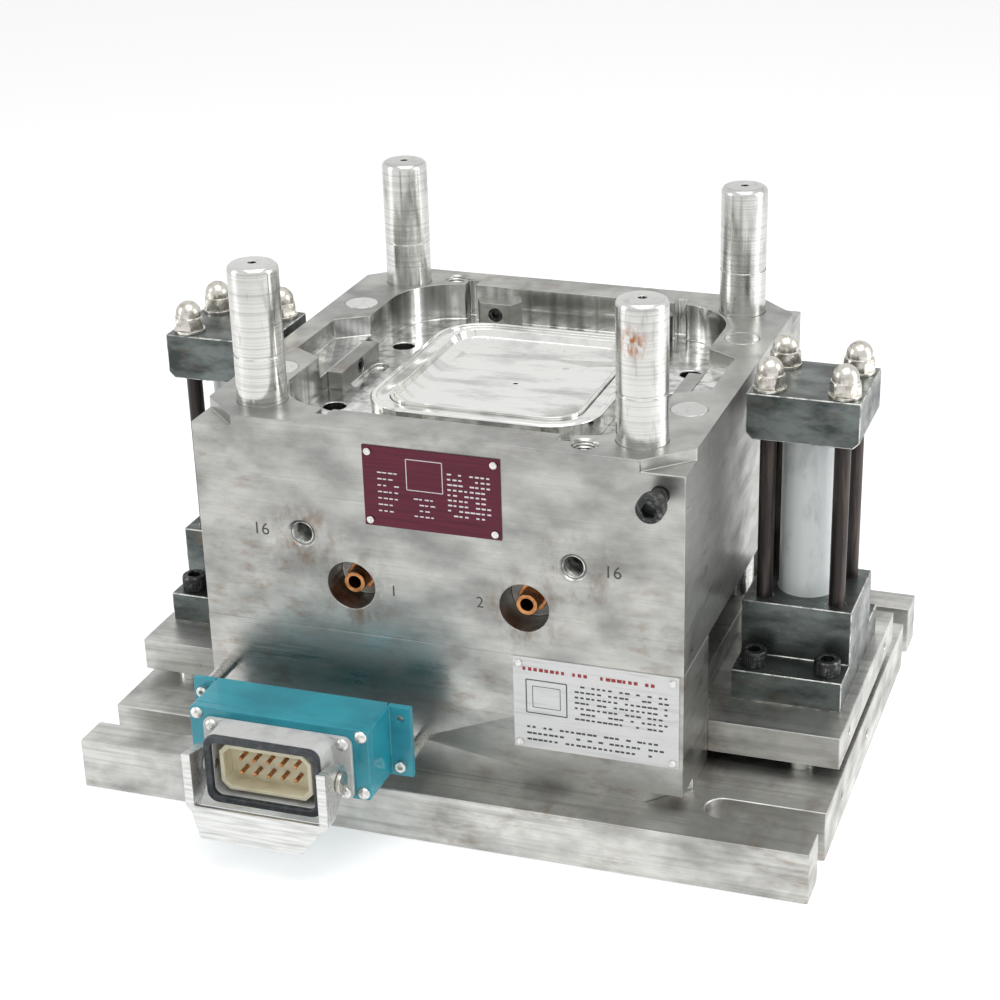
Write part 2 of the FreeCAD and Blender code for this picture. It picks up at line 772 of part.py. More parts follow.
def hot_nozzle():
    """The heated nozzle, from the locating ring's seat to the gate."""
    head_z = ring_seat_deep
    shoulder = head_z + nozzle_head
    tip_z = z_floor - tip_h / 2 - 0.5
    profile = [(sprue_d / 2, head_z), (nozzle_head_d / 2, head_z),
               (nozzle_head_d / 2, shoulder), (nozzle_d / 2, shoulder),
               (nozzle_d / 2 - 0.3, tip_z), (gate_d / 2 + 1, z_dish - 4),
               (gate_d / 4, z_dish - 4), (gate_d / 4, tip_z - 10), (sprue_d / 2, tip_z - 14)]
    face = Part.Face(outline([(r, 0, z) for r, z in profile]))
    body = face.revolve(FreeCAD.Vector(0, 0, 0), FreeCAD.Vector(0, 0, 1), 360)
    throat = Part.makeCone(sprue_d, sprue_d / 2, sprue_d / 2, FreeCAD.Vector(0, 0, head_z))
    return body.cut(throat)


def nozzle_heater():
    low = base_h + heater_from
    high = z_floor - core_seat - heater_from
    body = post(nozzle_d + 2 * heater_wall, low, high)
    return body.cut(post(nozzle_d + 2 * tight, low - 1, high + 1))


def vent_pin():
    return post(vent_d - 2 * tight, z_floor - core_seat, z_dish, vent_x, vent_y)


# --- Ejector set ---------------------------------------------------------------------------------
bush_d = guide_d + 2 * bush_wall
nozzle_hole = nozzle_d + 2 * (heater_wall + nozzle_room)
plate_screws_at = four(plate_screw_x, plate_screw_y) + [(0.0, -plate_screw_y), (0.0, plate_screw_y)]


def shared_ejector_holes(z0, z1):
    """Holes that pass through both ejector plates."""
    holes = [post(nozzle_hole, z0, z1)]
    holes += [post(pillar_d + 2, z0, z1, x, y) for x, y in four(pillar_x, pillar_y)]
    holes += [post(bush_d, z0, z1, x, 0) for x in (-guide_x, guide_x)]
    return holes


def ejector_plate():
    """The plate whose wings carry the cylinders."""
    body = plate(wing_x, ejector_y, z_ejector, z_retainer)
    holes = shared_ejector_holes(z_ejector - 1, z_retainer + 1)
    for x in cylinders_at:
        side = math.copysign(1, x)
        holes.append(post(rod_d + 2, z_ejector - 1, z_retainer + 1, x, 0))
        for dx, y in four(bolt_x, bolt_y):
            holes.append(post(10, z_retainer - bolt_in - 2, z_retainer + 1, x + dx, y))
        for y in (-end_wing_y, end_wing_y):
            x0, x1 = sorted((side * (wing_x / 2 - end_deep), side * (wing_x / 2 + 1)))
            holes.append(bar_x(end_bore, x0, x1, y, z_ejector + ejector_h / 2))
    for x, y in plate_screws_at:
        holes.append(post(8 + head_room, z_ejector - 1, z_retainer + 1, x, y))
        holes.append(post(cap_head[8] + head_room, z_ejector - 1, z_ejector + 9, x, y))
    return body.cut(holes)


def ejector_retainer_plate():
    """The plate that holds the heads of the return pins and push rods."""
    body = plate(retainer_x, ejector_y, z_retainer, z_stop)
    holes = shared_ejector_holes(z_retainer - 1, z_stop + 1)
    for x, y in four(return_x, return_y):
        holes.append(post(return_d, z_retainer, z_stop + 1, x, y))
        edge = return_head_d + 2 * tight
        holes.append(post(edge, z_retainer - 1, z_retainer + push_head, x, y))
    for x, y in four(push_x, push_y):
        holes.append(post(push_d, z_retainer, z_stop + 1, x, y))
        holes.append(post(push_head_d, z_retainer - 1, z_retainer + push_head, x, y))
    for x, y in plate_screws_at:
        holes.append(post(8, z_retainer - 1, z_stop - 2, x, y))
    return body.cut(holes)


def headed_pins(places, d, head_d, top, spigot_d=0.0, spigot=0.0):
    """Pins whose heads lie in the retainer plate."""
    solids = []
    for x, y in places:
        body = post(head_d, z_retainer, z_retainer + push_head, x, y)
        body = body.fuse(post(d, z_retainer, top, x, y))
        if spigot:
            body = body.fuse(post(spigot_d, top, top + spigot, x, y))
        solids.append(body.removeSplitter())
    return group(solids)


def return_pins():
    return headed_pins(four(return_x, return_y), return_d, return_head_d, z_top)


def push_rods():
    return headed_pins(four(push_x, push_y), push_d, push_head_d, z_floor, push_thread, 8)


def ejector_screws():
    return group([screw_down(8, ejector_h - 9 + retainer_h - 3, x, y, z_ejector + 9)
                  for x, y in plate_screws_at])


def guide_bushes():
    solids = []
    for x in (-guide_x, guide_x):
        body = post(bush_d, z_ejector, z_stop, x, 0)
        solids.append(body.cut(post(guide_d + 2 * running, z_ejector - 1, z_stop + 1, x, 0)))
    return group(solids)


def guide_pins():
    return group([post(guide_d, base_h - guide_seat, z_cavity + guide_seat, x, 0)
                  for x in (-guide_x, guide_x)])


# --- Tie-rod cylinders ---------------------------------------------------------------------------
def front_cap(x):
    """The flanged lower cap, which is bolted to a wing."""
    body = plate(cap_x, flange_y, z_retainer, z_flange, x, 0)
    body = body.fuse(plate(cap_x, cap_y, z_flange, z_barrel, x, 0)).removeSplitter()
    holes = [post(rod_d + 2 * running, z_retainer - 1, z_barrel + 1, x, 0)]
    holes.append(post(barrel_d, z_barrel - barrel_seat, z_barrel + 1, x, 0))
    for dx, y in four(bolt_x, bolt_y):
        holes.append(post(10 + head_room, z_retainer - 1, z_flange + 1, x + dx, y))
    for dx, y in four(tie_x, tie_y):
        holes.append(post(tie_d, z_barrel - tie_grip, z_barrel + 1, x + dx, y))
    port_z = z_barrel - front_cap_h / 2
    holes.append(bar_y(port_d, cap_y / 2 - port_deep, cap_y / 2 + 1, x, port_z))
    holes.append(bar_y(5, rod_d / 2 - 1, cap_y / 2, x, port_z))
    return body.cut(holes)


def rear_cap(x):
    """The upper cap under the four domed nuts."""
    body = plate(cap_x, cap_y, z_rear, z_cyl_top, x, 0)
    low = [e for e in body.Edges
           if abs(e.BoundBox.ZMax - z_rear) < 0.01 and e.BoundBox.YLength > cap_y / 2]
    body = body.makeChamfer(4.0, low)
    holes = [post(barrel_d, z_rear - 1, z_rear + barrel_seat, x, 0)]
    for dx, y in four(tie_x, tie_y):
        holes.append(post(tie_d + 0.6, z_rear - 1, z_cyl_top + 1, x + dx, y))
    port_z = z_rear + rear_cap_h / 2
    holes.append(bar_y(port_d, cap_y / 2 - port_deep, cap_y / 2 + 1, x, port_z))
    holes.append(bar_y(5, 0, cap_y / 2, x, port_z))
    holes.append(post(5, z_rear, port_z, x, 0))
    return body.cut(holes)


def barrel(x):
    low, high = z_barrel - barrel_seat, z_rear + barrel_seat
    return post(barrel_d, low, high, x, 0).cut(post(barrel_bore, low - 1, high + 1, x, 0))


def piston_rod(x):
    """The rod stands on the clamp plate and carries the piston."""
    top = z_rear + barrel_seat - piston_rest
    body = post(rod_d, base_h, top, x, 0)
    body = body.fuse(post(barrel_bore - 2 * running, top - piston_h, top, x, 0))
    return body.removeSplitter().cut(post(10, base_h - 1, base_h + rod_screw_in + 2, x, 0))


def tie_rods():
    top = z_cyl_top + washer_t + nut_hex
    return group([post(tie_d, z_barrel - tie_grip, top, x + dx, y)
                  for x in cylinders_at for dx, y in four(tie_x, tie_y)])


def tie_rod_washers():
    solids = []
    for x in cylinders_at:
        for dx, y in four(tie_x, tie_y):
            disc = post(washer_d, z_cyl_top, z_cyl_top + washer_t, x + dx, y)
            solids.append(disc.cut(post(tie_d + 0.6, z_cyl_top - 1, z_cyl_top + 5, x + dx, y)))
    return group(solids)


def acorn_nut():
    """A domed nut that stands on z = 0."""
    dome_r = nut_af / 2 - 0.4
    body = hexagon(nut_af, 0, nut_hex)
    body = body.common(Part.makeCone(nut_af / 2 + 3.4, nut_af / 2 - 0.2, nut_hex + 4,
                                     FreeCAD.Vector(0, 0, -2)))
    body = body.fuse(post(2 * dome_r, nut_hex - 0.5, nut_h - dome_r))
    dome = Part.makeSphere(dome_r, FreeCAD.Vector(0, 0, nut_h - dome_r))
    body = body.fuse(dome.common(post(2 * nut_af, nut_h - dome_r, nut_h))).removeSplitter()
    return body.cut(post(tie_d, -1, nut_hex))


def acorn_nuts():
    nut = acorn_nut()
    return group([moved(nut, x + dx, y, z_cyl_top + washer_t)
                  for x in cylinders_at for dx, y in four(tie_x, tie_y)])


def flange_bolts():
    return group([screw_up(10, flange_h + bolt_in, x + dx, y, z_flange)
                  for x in cylinders_at for dx, y in four(bolt_x, bolt_y)])


# --- Name plates and strap screw -----------------------------------------------------------------
def front_plate(x0, x1, z0, z1):
    """A thin plate on the front face."""
    return span(x0, x1, front - tag_t, front, z0, z1)


chart = (-chart_w / 2, chart_w / 2, z_cavity + chart_z - chart_h / 2,
         z_cavity + chart_z + chart_h / 2)
data = (right - data_edge - data_w, right - data_edge, z_cavity - data_h, z_cavity - 0.5)


def plate_rivets():
    solids = []
    for x0, x1, z0, z1 in (chart, data):
        for x in (x0 + rivet_in, x1 - rivet_in):
            for z in (z0 + rivet_in, z1 - rivet_in):
                solids.append(bar_y(rivet_d, front - tag_t - rivet_h, front - tag_t, x, z))
    return group(solids)


def strap_screw():
    return screw_front(10, strap_out + strap_in, strap_x, front - strap_out,
                       z_cavity + strap_z)


# --- Junction box --------------------------------------------------------------------------------
lug_x_left = box_x0 - lug_w / 2
lug_x_right = box_x1 + lug_w / 2
lug_z_low = box_z0 + lug_in
lug_z_high = box_z1 - lug_in
standoffs_at = ((lug_x_left, lug_z_high), (lug_x_right, lug_z_low))
box_corners = [(x, z) for x in (box_x0 + box_screw_in, box_x1 - box_screw_in)
               for z in (box_z0 + box_screw_in, box_z1 - box_screw_in)]


def junction_box():
    """The cast box, open to the front, with a lug on each side."""
    mouth = box_front + cover_t
    body = span(box_x0, box_x1, mouth, box_back, box_z0, box_z1)
    uprights = [e for e in body.Edges if e.BoundBox.YLength > 1]
    body = body.makeFillet(2.5, uprights)
    room = span(box_x0 + box_wall, box_x1 - box_wall, mouth - 1, box_back - box_wall,
                box_z0 + box_wall, box_z1 - box_wall)
    posts = [bar_y(9, mouth, box_back - box_wall + 0.5, x, z) for x, z in box_corners]
    body = body.cut(room)
    body = body.fuse([p.common(span(box_x0 + 1, box_x1 - 1, mouth, box_back, box_z0 + 1,
                                    box_z1 - 1)) for p in posts])
    for x0, x1 in ((box_x0 - lug_w, box_x0 + 1), (box_x1 - 1, box_x1 + lug_w)):
        body = body.fuse(span(x0, x1, box_back - lug_t, box_back, box_z0, box_z1))
    holes = [bar_y(lug_hole, box_back - lug_t - 1, box_back + 1, x, z)
             for x in (lug_x_left, lug_x_right) for z in (lug_z_low, lug_z_high)]
    holes += [bar_y(box_screw, mouth - 1, mouth + cover_screw_in + 4, x, z)
              for x, z in box_corners]
    return body.removeSplitter().cut(holes)


def box_cover():
    """The box's front cover, which carries the connector."""
    body = span(box_x0, box_x1, box_front, box_front + cover_t, box_z0, box_z1)
    body = body.makeFillet(2.5, [e for e in body.Edges if e.BoundBox.YLength > 1])
    window = span(conn_x - insert_x / 2 - 1, conn_x + insert_x / 2 + 1, box_front - 1,
                  box_front + cover_t + 1, conn_z - insert_z / 2 - 1, conn_z + insert_z / 2 + 1)
    holes = [bar_y(box_screw + 0.5, box_front - 1, box_front + cover_t + 1, x, z)
             for x, z in box_corners]
    holes += [bar_y(4, box_front - 1, box_front + cover_t, x, z) for x, z in housing_screws_at]
    return body.cut([window] + holes)


def box_cover_screws():
    return group([pan_screw_front(box_screw, cover_t + cover_screw_in, x, box_front, z)
                  for x, z in box_corners])


def box_standoffs():
    solids = []
    for x, z in standoffs_at:
        body = bar_y(standoff_d, box_back, front, x, z).fuse(bar_y(5, front, front + 8, x, z))
        solids.append(body.removeSplitter().cut(bar_y(4, box_back - 1, box_back + lug_screw_in + 2, x, z)))
    return group(solids)


def lug_screws():
    return group([screw_front(4, lug_t + lug_screw_in, x, box_back - lug_t, z)
                  for x, z in standoffs_at])


# --- Connector -----------------------------------------------------------------------------------
housing_screws_at = [(conn_x + sx * hole_w / 2, conn_z + sz * hole_z / 2)
                     for sx, sz in four(1, 1)]


def front_round_plate(x_len, z_len, r, y_low, y_high):
    """A plate with rounded corners, seen from the front, about the connector's axis."""
    body = stand_to_front(round_plate(x_len, z_len, r, 0, y_high - y_low))
    return moved(body, conn_x, y_high, conn_z)


def connector_housing():
    """The die-cast housing: a flange and an open hood with pivot bosses."""
    body = front_round_plate(flange_w, flange_z, 5, hood_base, box_front)
    body = body.fuse(front_round_plate(hood_x, hood_z, hood_r, hood_rim, hood_base))
    for side in (-1, 1):
        x0, x1 = sorted((conn_x + side * hood_x / 2,
                         conn_x + side * (hood_x / 2 + lever_gap - pivot_slack)))
        body = body.fuse(bar_x(boss_d, x0, x1, pivot_y, conn_z))
    inside = front_round_plate(hood_x - 2 * hood_wall, hood_z - 2 * hood_wall,
                               hood_r - hood_wall / 2, hood_rim - 1, hood_base - 1)
    window = front_round_plate(insert_x + 0.4, insert_z + 0.4, 2, hood_base - 2, box_front + 1)
    holes = [bar_y(4.5, hood_base - 1, box_front + 1, x, z) for x, z in housing_screws_at]
    for side in (-1, 1):
        x0, x1 = sorted((conn_x + side * (hood_x / 2 - hood_wall - 1),
                         conn_x + side * (hood_x / 2 + lever_gap)))
        holes.append(bar_x(pivot_d, x0, x1, pivot_y, conn_z))
    return body.removeSplitter().cut([inside, window] + holes)


def connector_gasket():
    ring = front_round_plate(hood_x, hood_z, hood_r, gasket_rim, hood_rim)
    hole = front_round_plate(hood_x - 2 * hood_wall, hood_z - 2 * hood_wall,
                             hood_r - hood_wall / 2, gasket_rim - 1, hood_rim + 1)
    return ring.cut(hole)


def octagon_front(x_len, z_len, cut, y_low, y_high):
    """A block with cut corners, about the connector's axis."""
    hx, hz = x_len / 2, z_len / 2
    points = [(conn_x + sx * a, y_low, conn_z + sz * b) for sx, sz, a, b in (
        (-1, -1, hx - cut, hz), (1, -1, hx - cut, hz), (1, -1, hx, hz - cut),
        (1, 1, hx, hz - cut), (1, 1, hx - cut, hz), (-1, 1, hx - cut, hz),
        (-1, 1, hx, hz - cut), (-1, -1, hx, hz - cut))]
    return prism(points, (0, y_high - y_low, 0))


insert_tip = hood_rim + 1.5
chamber_floor = insert_tip + chamber_deep
contacts_at = [(conn_x + (i - 2) * contact_pitch, conn_z + s * contact_row)
               for i in range(5) for s in (-1, 1)]


def connector_insert():
    """The moulded insert, with a chamber that holds the contacts."""
    body = octagon_front(insert_x, insert_z, 5, insert_tip, insert_tip + insert_len)
    ears = span(conn_x - ear_x / 2, conn_x + ear_x / 2, hood_base - 1 - ear_t, hood_base - 1,
                conn_z - ear_z / 2, conn_z + ear_z / 2)
    body = body.fuse(ears)
    wall = 2 * chamber_wall
    chamber = octagon_front(insert_x - wall, insert_z - wall, 4, insert_tip - 1, chamber_floor)
    body = body.cut(chamber)
    holes = [bar_y(contact_d, chamber_floor - 1, insert_tip + insert_len + 1, x, z)
             for x, z in contacts_at]
    return body.removeSplitter().cut(holes)


def connector_contacts():
    return group([bar_y(contact_d, chamber_floor - contact_out, insert_tip + insert_len, x, z)
                  for x, z in contacts_at])


def housing_screws():
    return group([pan_screw_front(4, flange_t + housing_screw_in, x, hood_base, z)
                  for x, z in housing_screws_at])


def tangent_point(y, z, r, turn):
    """Where a line from y, z meets a circle of radius r round the origin; turn is 1 or -1."""
    angle = math.atan2(z, y) + turn * math.acos(r / math.hypot(y, z))
    return r * math.cos(angle), r * math.sin(angle)


def lever_arm(x0):
    """One arm, with a rounded back round the pivot."""
    ahead = lever_y - pivot_y
    upper = tangent_point(ahead, lever_up, lever_eye_r, -1)
    lower = tangent_point(ahead + lever_foot, -lever_down, lever_eye_r, 1)
    points = [(ahead, lever_up), upper, lower, (ahead + lever_foot, -lever_down),
              (ahead, -lever_down)]
    arm = prism([(x0, pivot_y + y, conn_z + z) for y, z in points], (lever_t, 0, 0))
    return arm.fuse(bar_x(2 * lever_eye_r, x0, x0 + lever_t, pivot_y, conn_z))


def locking_lever():
    """The U-shaped locking lever, in its locked place."""
    inner = hood_x / 2 + lever_gap
    outer = inner + lever_t
    z_low = conn_z - lever_down
    body = span(conn_x - outer, conn_x + outer, lever_y, lever_y + lever_plate,
                z_low, z_low + lever_bar)
    body = body.fuse([lever_arm(conn_x - outer), lever_arm(conn_x + inner)]).removeSplitter()
    low_edges = [e for e in body.Edges
                 if e.BoundBox.ZMax < z_low + 0.01 and e.BoundBox.XLength < 0.01]
    outside = [e for e in low_edges if abs(abs(e.BoundBox.XMin - conn_x) - outer) < 0.01]
    body = body.makeFillet(lever_corner, outside)
    z_tab = z_low - lever_tab
    lean = tab_top - tab_foot
    tab = prism([(conn_x - tab_top / 2, lever_y, z_low + lever_bar / 2),
                 (conn_x - tab_foot / 2 - lean / 4, lever_y, z_tab),
                 (conn_x + tab_foot / 2 - lean / 4, lever_y, z_tab),
                 (conn_x + tab_top / 2, lever_y, z_low + lever_bar / 2)], (0, lever_plate, 0))
    holes = [bar_x(pivot_d + 2 * running, x - 1, x + lever_t + 1, pivot_y, conn_z)
             for x in (conn_x - outer, conn_x + inner)]
    return body.fuse(tab).removeSplitter().cut(holes)


def lever_pivots():
    solids = []
    inner = hood_x / 2 - hood_wall
    seat = hood_x / 2 + lever_gap + lever_t + pivot_slack
    for side in (-1, 1):
        x0, x1 = sorted((conn_x + side * inner, conn_x + side * seat))
        pin = bar_x(pivot_d, x0, x1, pivot_y, conn_z)
        x0, x1 = sorted((conn_x + side * seat, conn_x + side * (seat + pivot_head)))
        solids.append(pin.fuse(bar_x(pivot_head_d, x0, x1, pivot_y, conn_z)).removeSplitter())
    return group(solids)


# --- The pieces ----------------------------------------------------------------------------------
pieces = {
    "base_clamp_plate": base_clamp_plate(),
    "front_spacer_block": spacer_block(-1),
    "back_spacer_block": spacer_block(1),
    "stop_buttons": stop_buttons(),
    "frame_screws": frame_screws(),
    "support_pillars": support_pillars(),
    "clamp_plate_screws": clamp_plate_screws(),
    "cavity_plate": cavity_plate(),
    "front_left_leader_pin": leader_pin(-leader_at, -leader_at),
    "front_right_leader_pin": leader_pin(leader_at, -leader_at),
    "back_left_leader_pin": leader_pin(-leader_at, leader_at),
    "back_right_leader_pin": leader_pin(leader_at, leader_at),
    "cavity_plate_screws": cavity_screws(),
    "wear_blocks": wear_blocks(),
    "wear_screws": wear_screws(),
    "side_wear_plates": side_wear_plates(),
    "core_insert": core_insert(),
    "core_insert_screws": core_screws(),
    "stripper_ring": stripper_ring(),
    "hot_runner_nozzle": hot_nozzle(),
    "nozzle_heater": nozzle_heater(),
    "vent_pin": vent_pin(),
    "left_water_nipple": water_nipple(-water_x),
    "right_water_nipple": water_nipple(water_x),
    "water_channel_plug": water_plug(),
    "ejector_plate": ejector_plate(),
    "ejector_retainer_plate": ejector_retainer_plate(),
    "ejector_plate_screws": ejector_screws(),
    "return_pins": return_pins(),
    "push_rods": push_rods(),
    "ejector_guide_pins": guide_pins(),
    "ejector_guide_bushes": guide_bushes(),
    "left_front_cap": front_cap(-cyl_x),
    "left_barrel": barrel(-cyl_x),
    "left_rear_cap": rear_cap(-cyl_x),
    "left_piston_rod": piston_rod(-cyl_x),
    "right_front_cap": front_cap(cyl_x),
    "right_barrel": barrel(cyl_x),
    "right_rear_cap": rear_cap(cyl_x),
    "right_piston_rod": piston_rod(cyl_x),
    "tie_rods": tie_rods(),
    "tie_rod_washers": tie_rod_washers(),
    "acorn_nuts": acorn_nuts(),
    "flange_bolts": flange_bolts(),
    "wiring_chart_plate": front_plate(*chart),
    "mould_data_plate": front_plate(*data),
    "plate_rivets": plate_rivets(),
    "strap_screw": strap_screw(),
    "junction_box": junction_box(),
    "box_cover": box_cover(),
    "box_cover_screws": box_cover_screws(),
    "box_standoffs": box_standoffs(),
    "box_lug_screws": lug_screws(),
    "connector_housing": connector_housing(),
    "connector_gasket": connector_gasket(),
    "connector_insert": connector_insert(),
    "connector_contacts": connector_contacts(),
    "housing_screws": housing_screws(),
    "locking_lever": locking_lever(),
    "lever_pivots": lever_pivots(),
}

os.makedirs("parts", exist_ok=True)
for name, shape in pieces.items():
    shape.exportStep("parts/" + name + ".step")
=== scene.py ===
# %% [markdown]
# # A mould base, dressed
#
# This half of an injection mould is all metal: ground plates, oiled pins, a pair of small hydraulic
# cylinders and a teal connector box. The solids come from the CAD frame and never move here. This file
# gives each one the finish that its real counterpart has, and adds what is too fine for CAD: broken
# edges, stamped numbers, printed plates, threads, knurls and the marks of the machines.

# %% The frame
import bpy
import bmesh
import json
import math
import numpy as np
from mathutils import Matrix, Vector


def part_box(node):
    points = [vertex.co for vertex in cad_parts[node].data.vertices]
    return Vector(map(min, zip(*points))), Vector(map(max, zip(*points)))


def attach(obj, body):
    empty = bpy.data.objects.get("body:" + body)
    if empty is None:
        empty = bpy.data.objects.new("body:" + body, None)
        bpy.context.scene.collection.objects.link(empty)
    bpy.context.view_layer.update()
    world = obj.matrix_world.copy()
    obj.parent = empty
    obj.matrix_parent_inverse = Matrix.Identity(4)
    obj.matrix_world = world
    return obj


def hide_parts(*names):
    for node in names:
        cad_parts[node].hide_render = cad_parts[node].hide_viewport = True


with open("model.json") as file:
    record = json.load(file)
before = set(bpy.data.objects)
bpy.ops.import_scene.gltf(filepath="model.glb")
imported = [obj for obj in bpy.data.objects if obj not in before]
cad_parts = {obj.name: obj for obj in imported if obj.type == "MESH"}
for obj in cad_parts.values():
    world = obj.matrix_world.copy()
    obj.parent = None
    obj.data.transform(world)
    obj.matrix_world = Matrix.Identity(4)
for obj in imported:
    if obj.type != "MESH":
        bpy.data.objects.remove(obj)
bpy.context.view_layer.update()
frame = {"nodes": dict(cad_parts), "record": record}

nodes = frame["nodes"]
record = frame["record"]
body_of = {node: body for body, members in record["behaviour"]["bodies"].items() for node in members}
MM = 0.001

# %% [markdown]
# ## Colours and nodes
#
# Colours are written as sRGB hex values, as a paint chart gives them. Blender's shaders work in linear
# light, so one function turns a hex value into a linear colour. A second function adds a shader node with
# its settings and links in one line, which keeps each material short enough to read.

# %% Colour and node helpers
def linear(hex_value):
    """sRGB to linear: c / 12.92 below 0.04045, else ((c + 0.055) / 1.055) ** 2.4."""
    channels = np.array([int(hex_value[i:i + 2], 16) for i in (1, 3, 5)]) / 255
    high = ((channels + 0.055) / 1.055) ** 2.4
    return (*np.where(channels <= 0.04045, channels / 12.92, high).tolist(), 1.0)


def add(tree, kind, links=None, **settings):
    """Adds a node. Settings name its attributes or, with _ for a space, its inputs; links feed inputs."""
    node = tree.nodes.new("ShaderNode" + kind)
    for name, value in settings.items():
        if hasattr(node, name):
            setattr(node, name, value)
        else:
            node.inputs[name.replace("_", " ")].default_value = value
    for name, source in (links or {}).items():
        tree.links.new(source, node.inputs[name])
    return node


def finish(name, hex_value, metallic, roughness, **sockets):
    """A new material with these plain values. Returns it with its tree and its shader."""
    material = bpy.data.materials.new(name)
    material.use_nodes = True
    tree = material.node_tree
    tree.nodes.clear()
    shader = add(tree, "BsdfPrincipled", Base_Color=linear(hex_value), Metallic=metallic,
                 Roughness=roughness, **sockets)
    add(tree, "OutputMaterial", {"Surface": shader.outputs[0]})
    return material, tree, shader


# %% [markdown]
# ## Marks on metal
#
# Machined steel is never one colour. A grinding wheel leaves fine parallel lines, oil and fingers leave
# soft clouds, and both change the roughness more than the colour. All of these marks are noise, read in
# the piece's own coordinates: squeezed across the lines and stretched along them for grinding, or left
# round for clouds. The sizes are real ones in millimetres, so every plate has marks of the same scale.

# %% Marks as noise
def noise(tree, grain_mm, detail=2.0, rough=0.5):
    """A soft pattern from 0 to 1 whose grains are grain_mm = (x, y, z) long."""
    place = add(tree, "TexCoord").outputs["Object"]
    scale = tuple(1 / (g * MM) for g in grain_mm)
    mapped = add(tree, "Mapping", {"Vector": place}, Scale=scale).outputs[0]
    return add(tree, "TexNoise", {"Vector": mapped}, Scale=1.0, Detail=detail, Roughness=rough).outputs[0]


def spread(tree, value, low, high, to_low=0.0, to_high=1.0):
    """The pattern stretched so that low becomes to_low and high becomes to_high, and held there."""
    node = add(tree, "MapRange", {"Value": value}, clamp=True)
    for name, number in (("From Min", low), ("From Max", high), ("To Min", to_low), ("To Max", to_high)):
        node.inputs[name].default_value = number
    return node.outputs[0]


def times(tree, a, b):
    """Two patterns multiplied."""
    return add(tree, "Math", {0: a, 1: b}, operation="MULTIPLY").outputs[0]


def tint(tree, under, over_hex, amount):
    """Puts a colour over another one, as far as a pattern says."""
    node = add(tree, "Mix", {"Factor": amount}, data_type="RGBA")
    if isinstance(under, str):
        node.inputs[6].default_value = linear(under)
    else:
        tree.links.new(under, node.inputs[6])
    node.inputs[7].default_value = linear(over_hex)
    return node.outputs[2]


def carve(tree, shader, height, depth_mm, strength=1.0):
    """Bump from a pattern, depth_mm high."""
    node = add(tree, "Bump", {"Height": height}, Strength=strength, Distance=depth_mm * MM)
    tree.links.new(node.outputs[0], shader.inputs["Normal"])
    return node


def inside(tree, low, high, soft_mm=1.0):
    """1 inside the box between two corners in metres and 0 outside: how far a point is past the box's
    nearest side, along the worst axis, turned into a soft edge."""
    low, high = np.array(low), np.array(high)
    place = add(tree, "TexCoord").outputs["Object"]
    off = add(tree, "VectorMath", {0: place}, operation="SUBTRACT")
    off.inputs[1].default_value = tuple((low + high) / 2)
    size = add(tree, "VectorMath", {0: off.outputs[0]}, operation="ABSOLUTE")
    past = add(tree, "VectorMath", {0: size.outputs[0]}, operation="SUBTRACT")
    past.inputs[1].default_value = tuple((high - low) / 2)
    axes = add(tree, "SeparateXYZ", {0: past.outputs[0]}).outputs
    worst = add(tree, "Math", {0: axes[0], 1: axes[1]}, operation="MAXIMUM").outputs[0]
    worst = add(tree, "Math", {0: worst, 1: axes[2]}, operation="MAXIMUM").outputs[0]
    return spread(tree, worst, -soft_mm * MM / 2, soft_mm * MM / 2, 1.0, 0.0)


def near(tree, point, full_mm, none_mm):
    """1 within full_mm of a point, fading to 0 at none_mm."""
    place = add(tree, "TexCoord").outputs["Object"]
    gap = add(tree, "VectorMath", {0: place}, operation="DISTANCE")
    gap.inputs[1].default_value = tuple(point)
    return spread(tree, gap.outputs["Value"], full_mm * MM, none_mm * MM, 1.0, 0.0)


# %% [markdown]
# ## Ground tool steel
#
# The cavity plate and the spacers are tool steel, ground flat on a surface grinder. The wheel runs to and
# fro, so its lines lie along X on the front, back and top, and along Y on the ends. A mask from the
# surface's normal picks the direction. Real grinding lines are about 0.2 mm apart, too fine to show, so
# they are drawn 0.9 mm apart. Oil that was wiped off leaves clouds, and brown smudges stay round the holes.

# %% Ground tool steel
water_z = 151 * MM
front_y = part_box("cavity_plate")[0][1]
top_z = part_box("cavity_plate")[1][2]
lifting_holes = [m["pos_m"] for m in record["mounts"] if m["name"].endswith("front_lifting_hole")]
water_ports = [m["pos_m"] for m in record["mounts"] if m["name"].endswith("water_nipple_end")]


def across_or_along(tree, spacing_mm, length_mm):
    """Fine lines that follow the grinder: along X, but along Y where the surface faces left or right."""
    by_x = noise(tree, (length_mm, spacing_mm, spacing_mm), 3.0, 0.6)
    by_y = noise(tree, (spacing_mm, length_mm, spacing_mm), 3.0, 0.6)
    facing = add(tree, "SeparateXYZ", {0: add(tree, "NewGeometry").outputs["Normal"]}).outputs[0]
    size = add(tree, "Math", {0: facing}, operation="ABSOLUTE").outputs[0]
    pick = add(tree, "Mix", {0: spread(tree, size, 0.6, 0.8), 2: by_x, 3: by_y}, data_type="FLOAT")
    return pick.outputs[0]


def ground_steel(name, dark, light, brown, rough):
    """Tool steel with grinding lines, wiped oil and a little brown, between two greys."""
    material, tree, shader = finish(name, light, 1.0, rough)
    lines = across_or_along(tree, 0.9, 70)
    clouds = noise(tree, (38, 38, 22), 4.0, 0.55)
    colour = tint(tree, light, dark, spread(tree, clouds, 0.38, 0.68))
    colour = tint(tree, colour, dark, spread(tree, lines, 0.52, 0.80, 0.0, 0.45))
    smudge = times(tree, spread(tree, noise(tree, (16, 30, 7), 3.0, 0.6), 0.5, 0.72),
                   spread(tree, noise(tree, (90, 90, 60), 1.0), 0.45, 0.62))
    return material, tree, shader, tint(tree, colour, brown, spread(tree, smudge, 0, 1, 0, 0.55)), lines, clouds


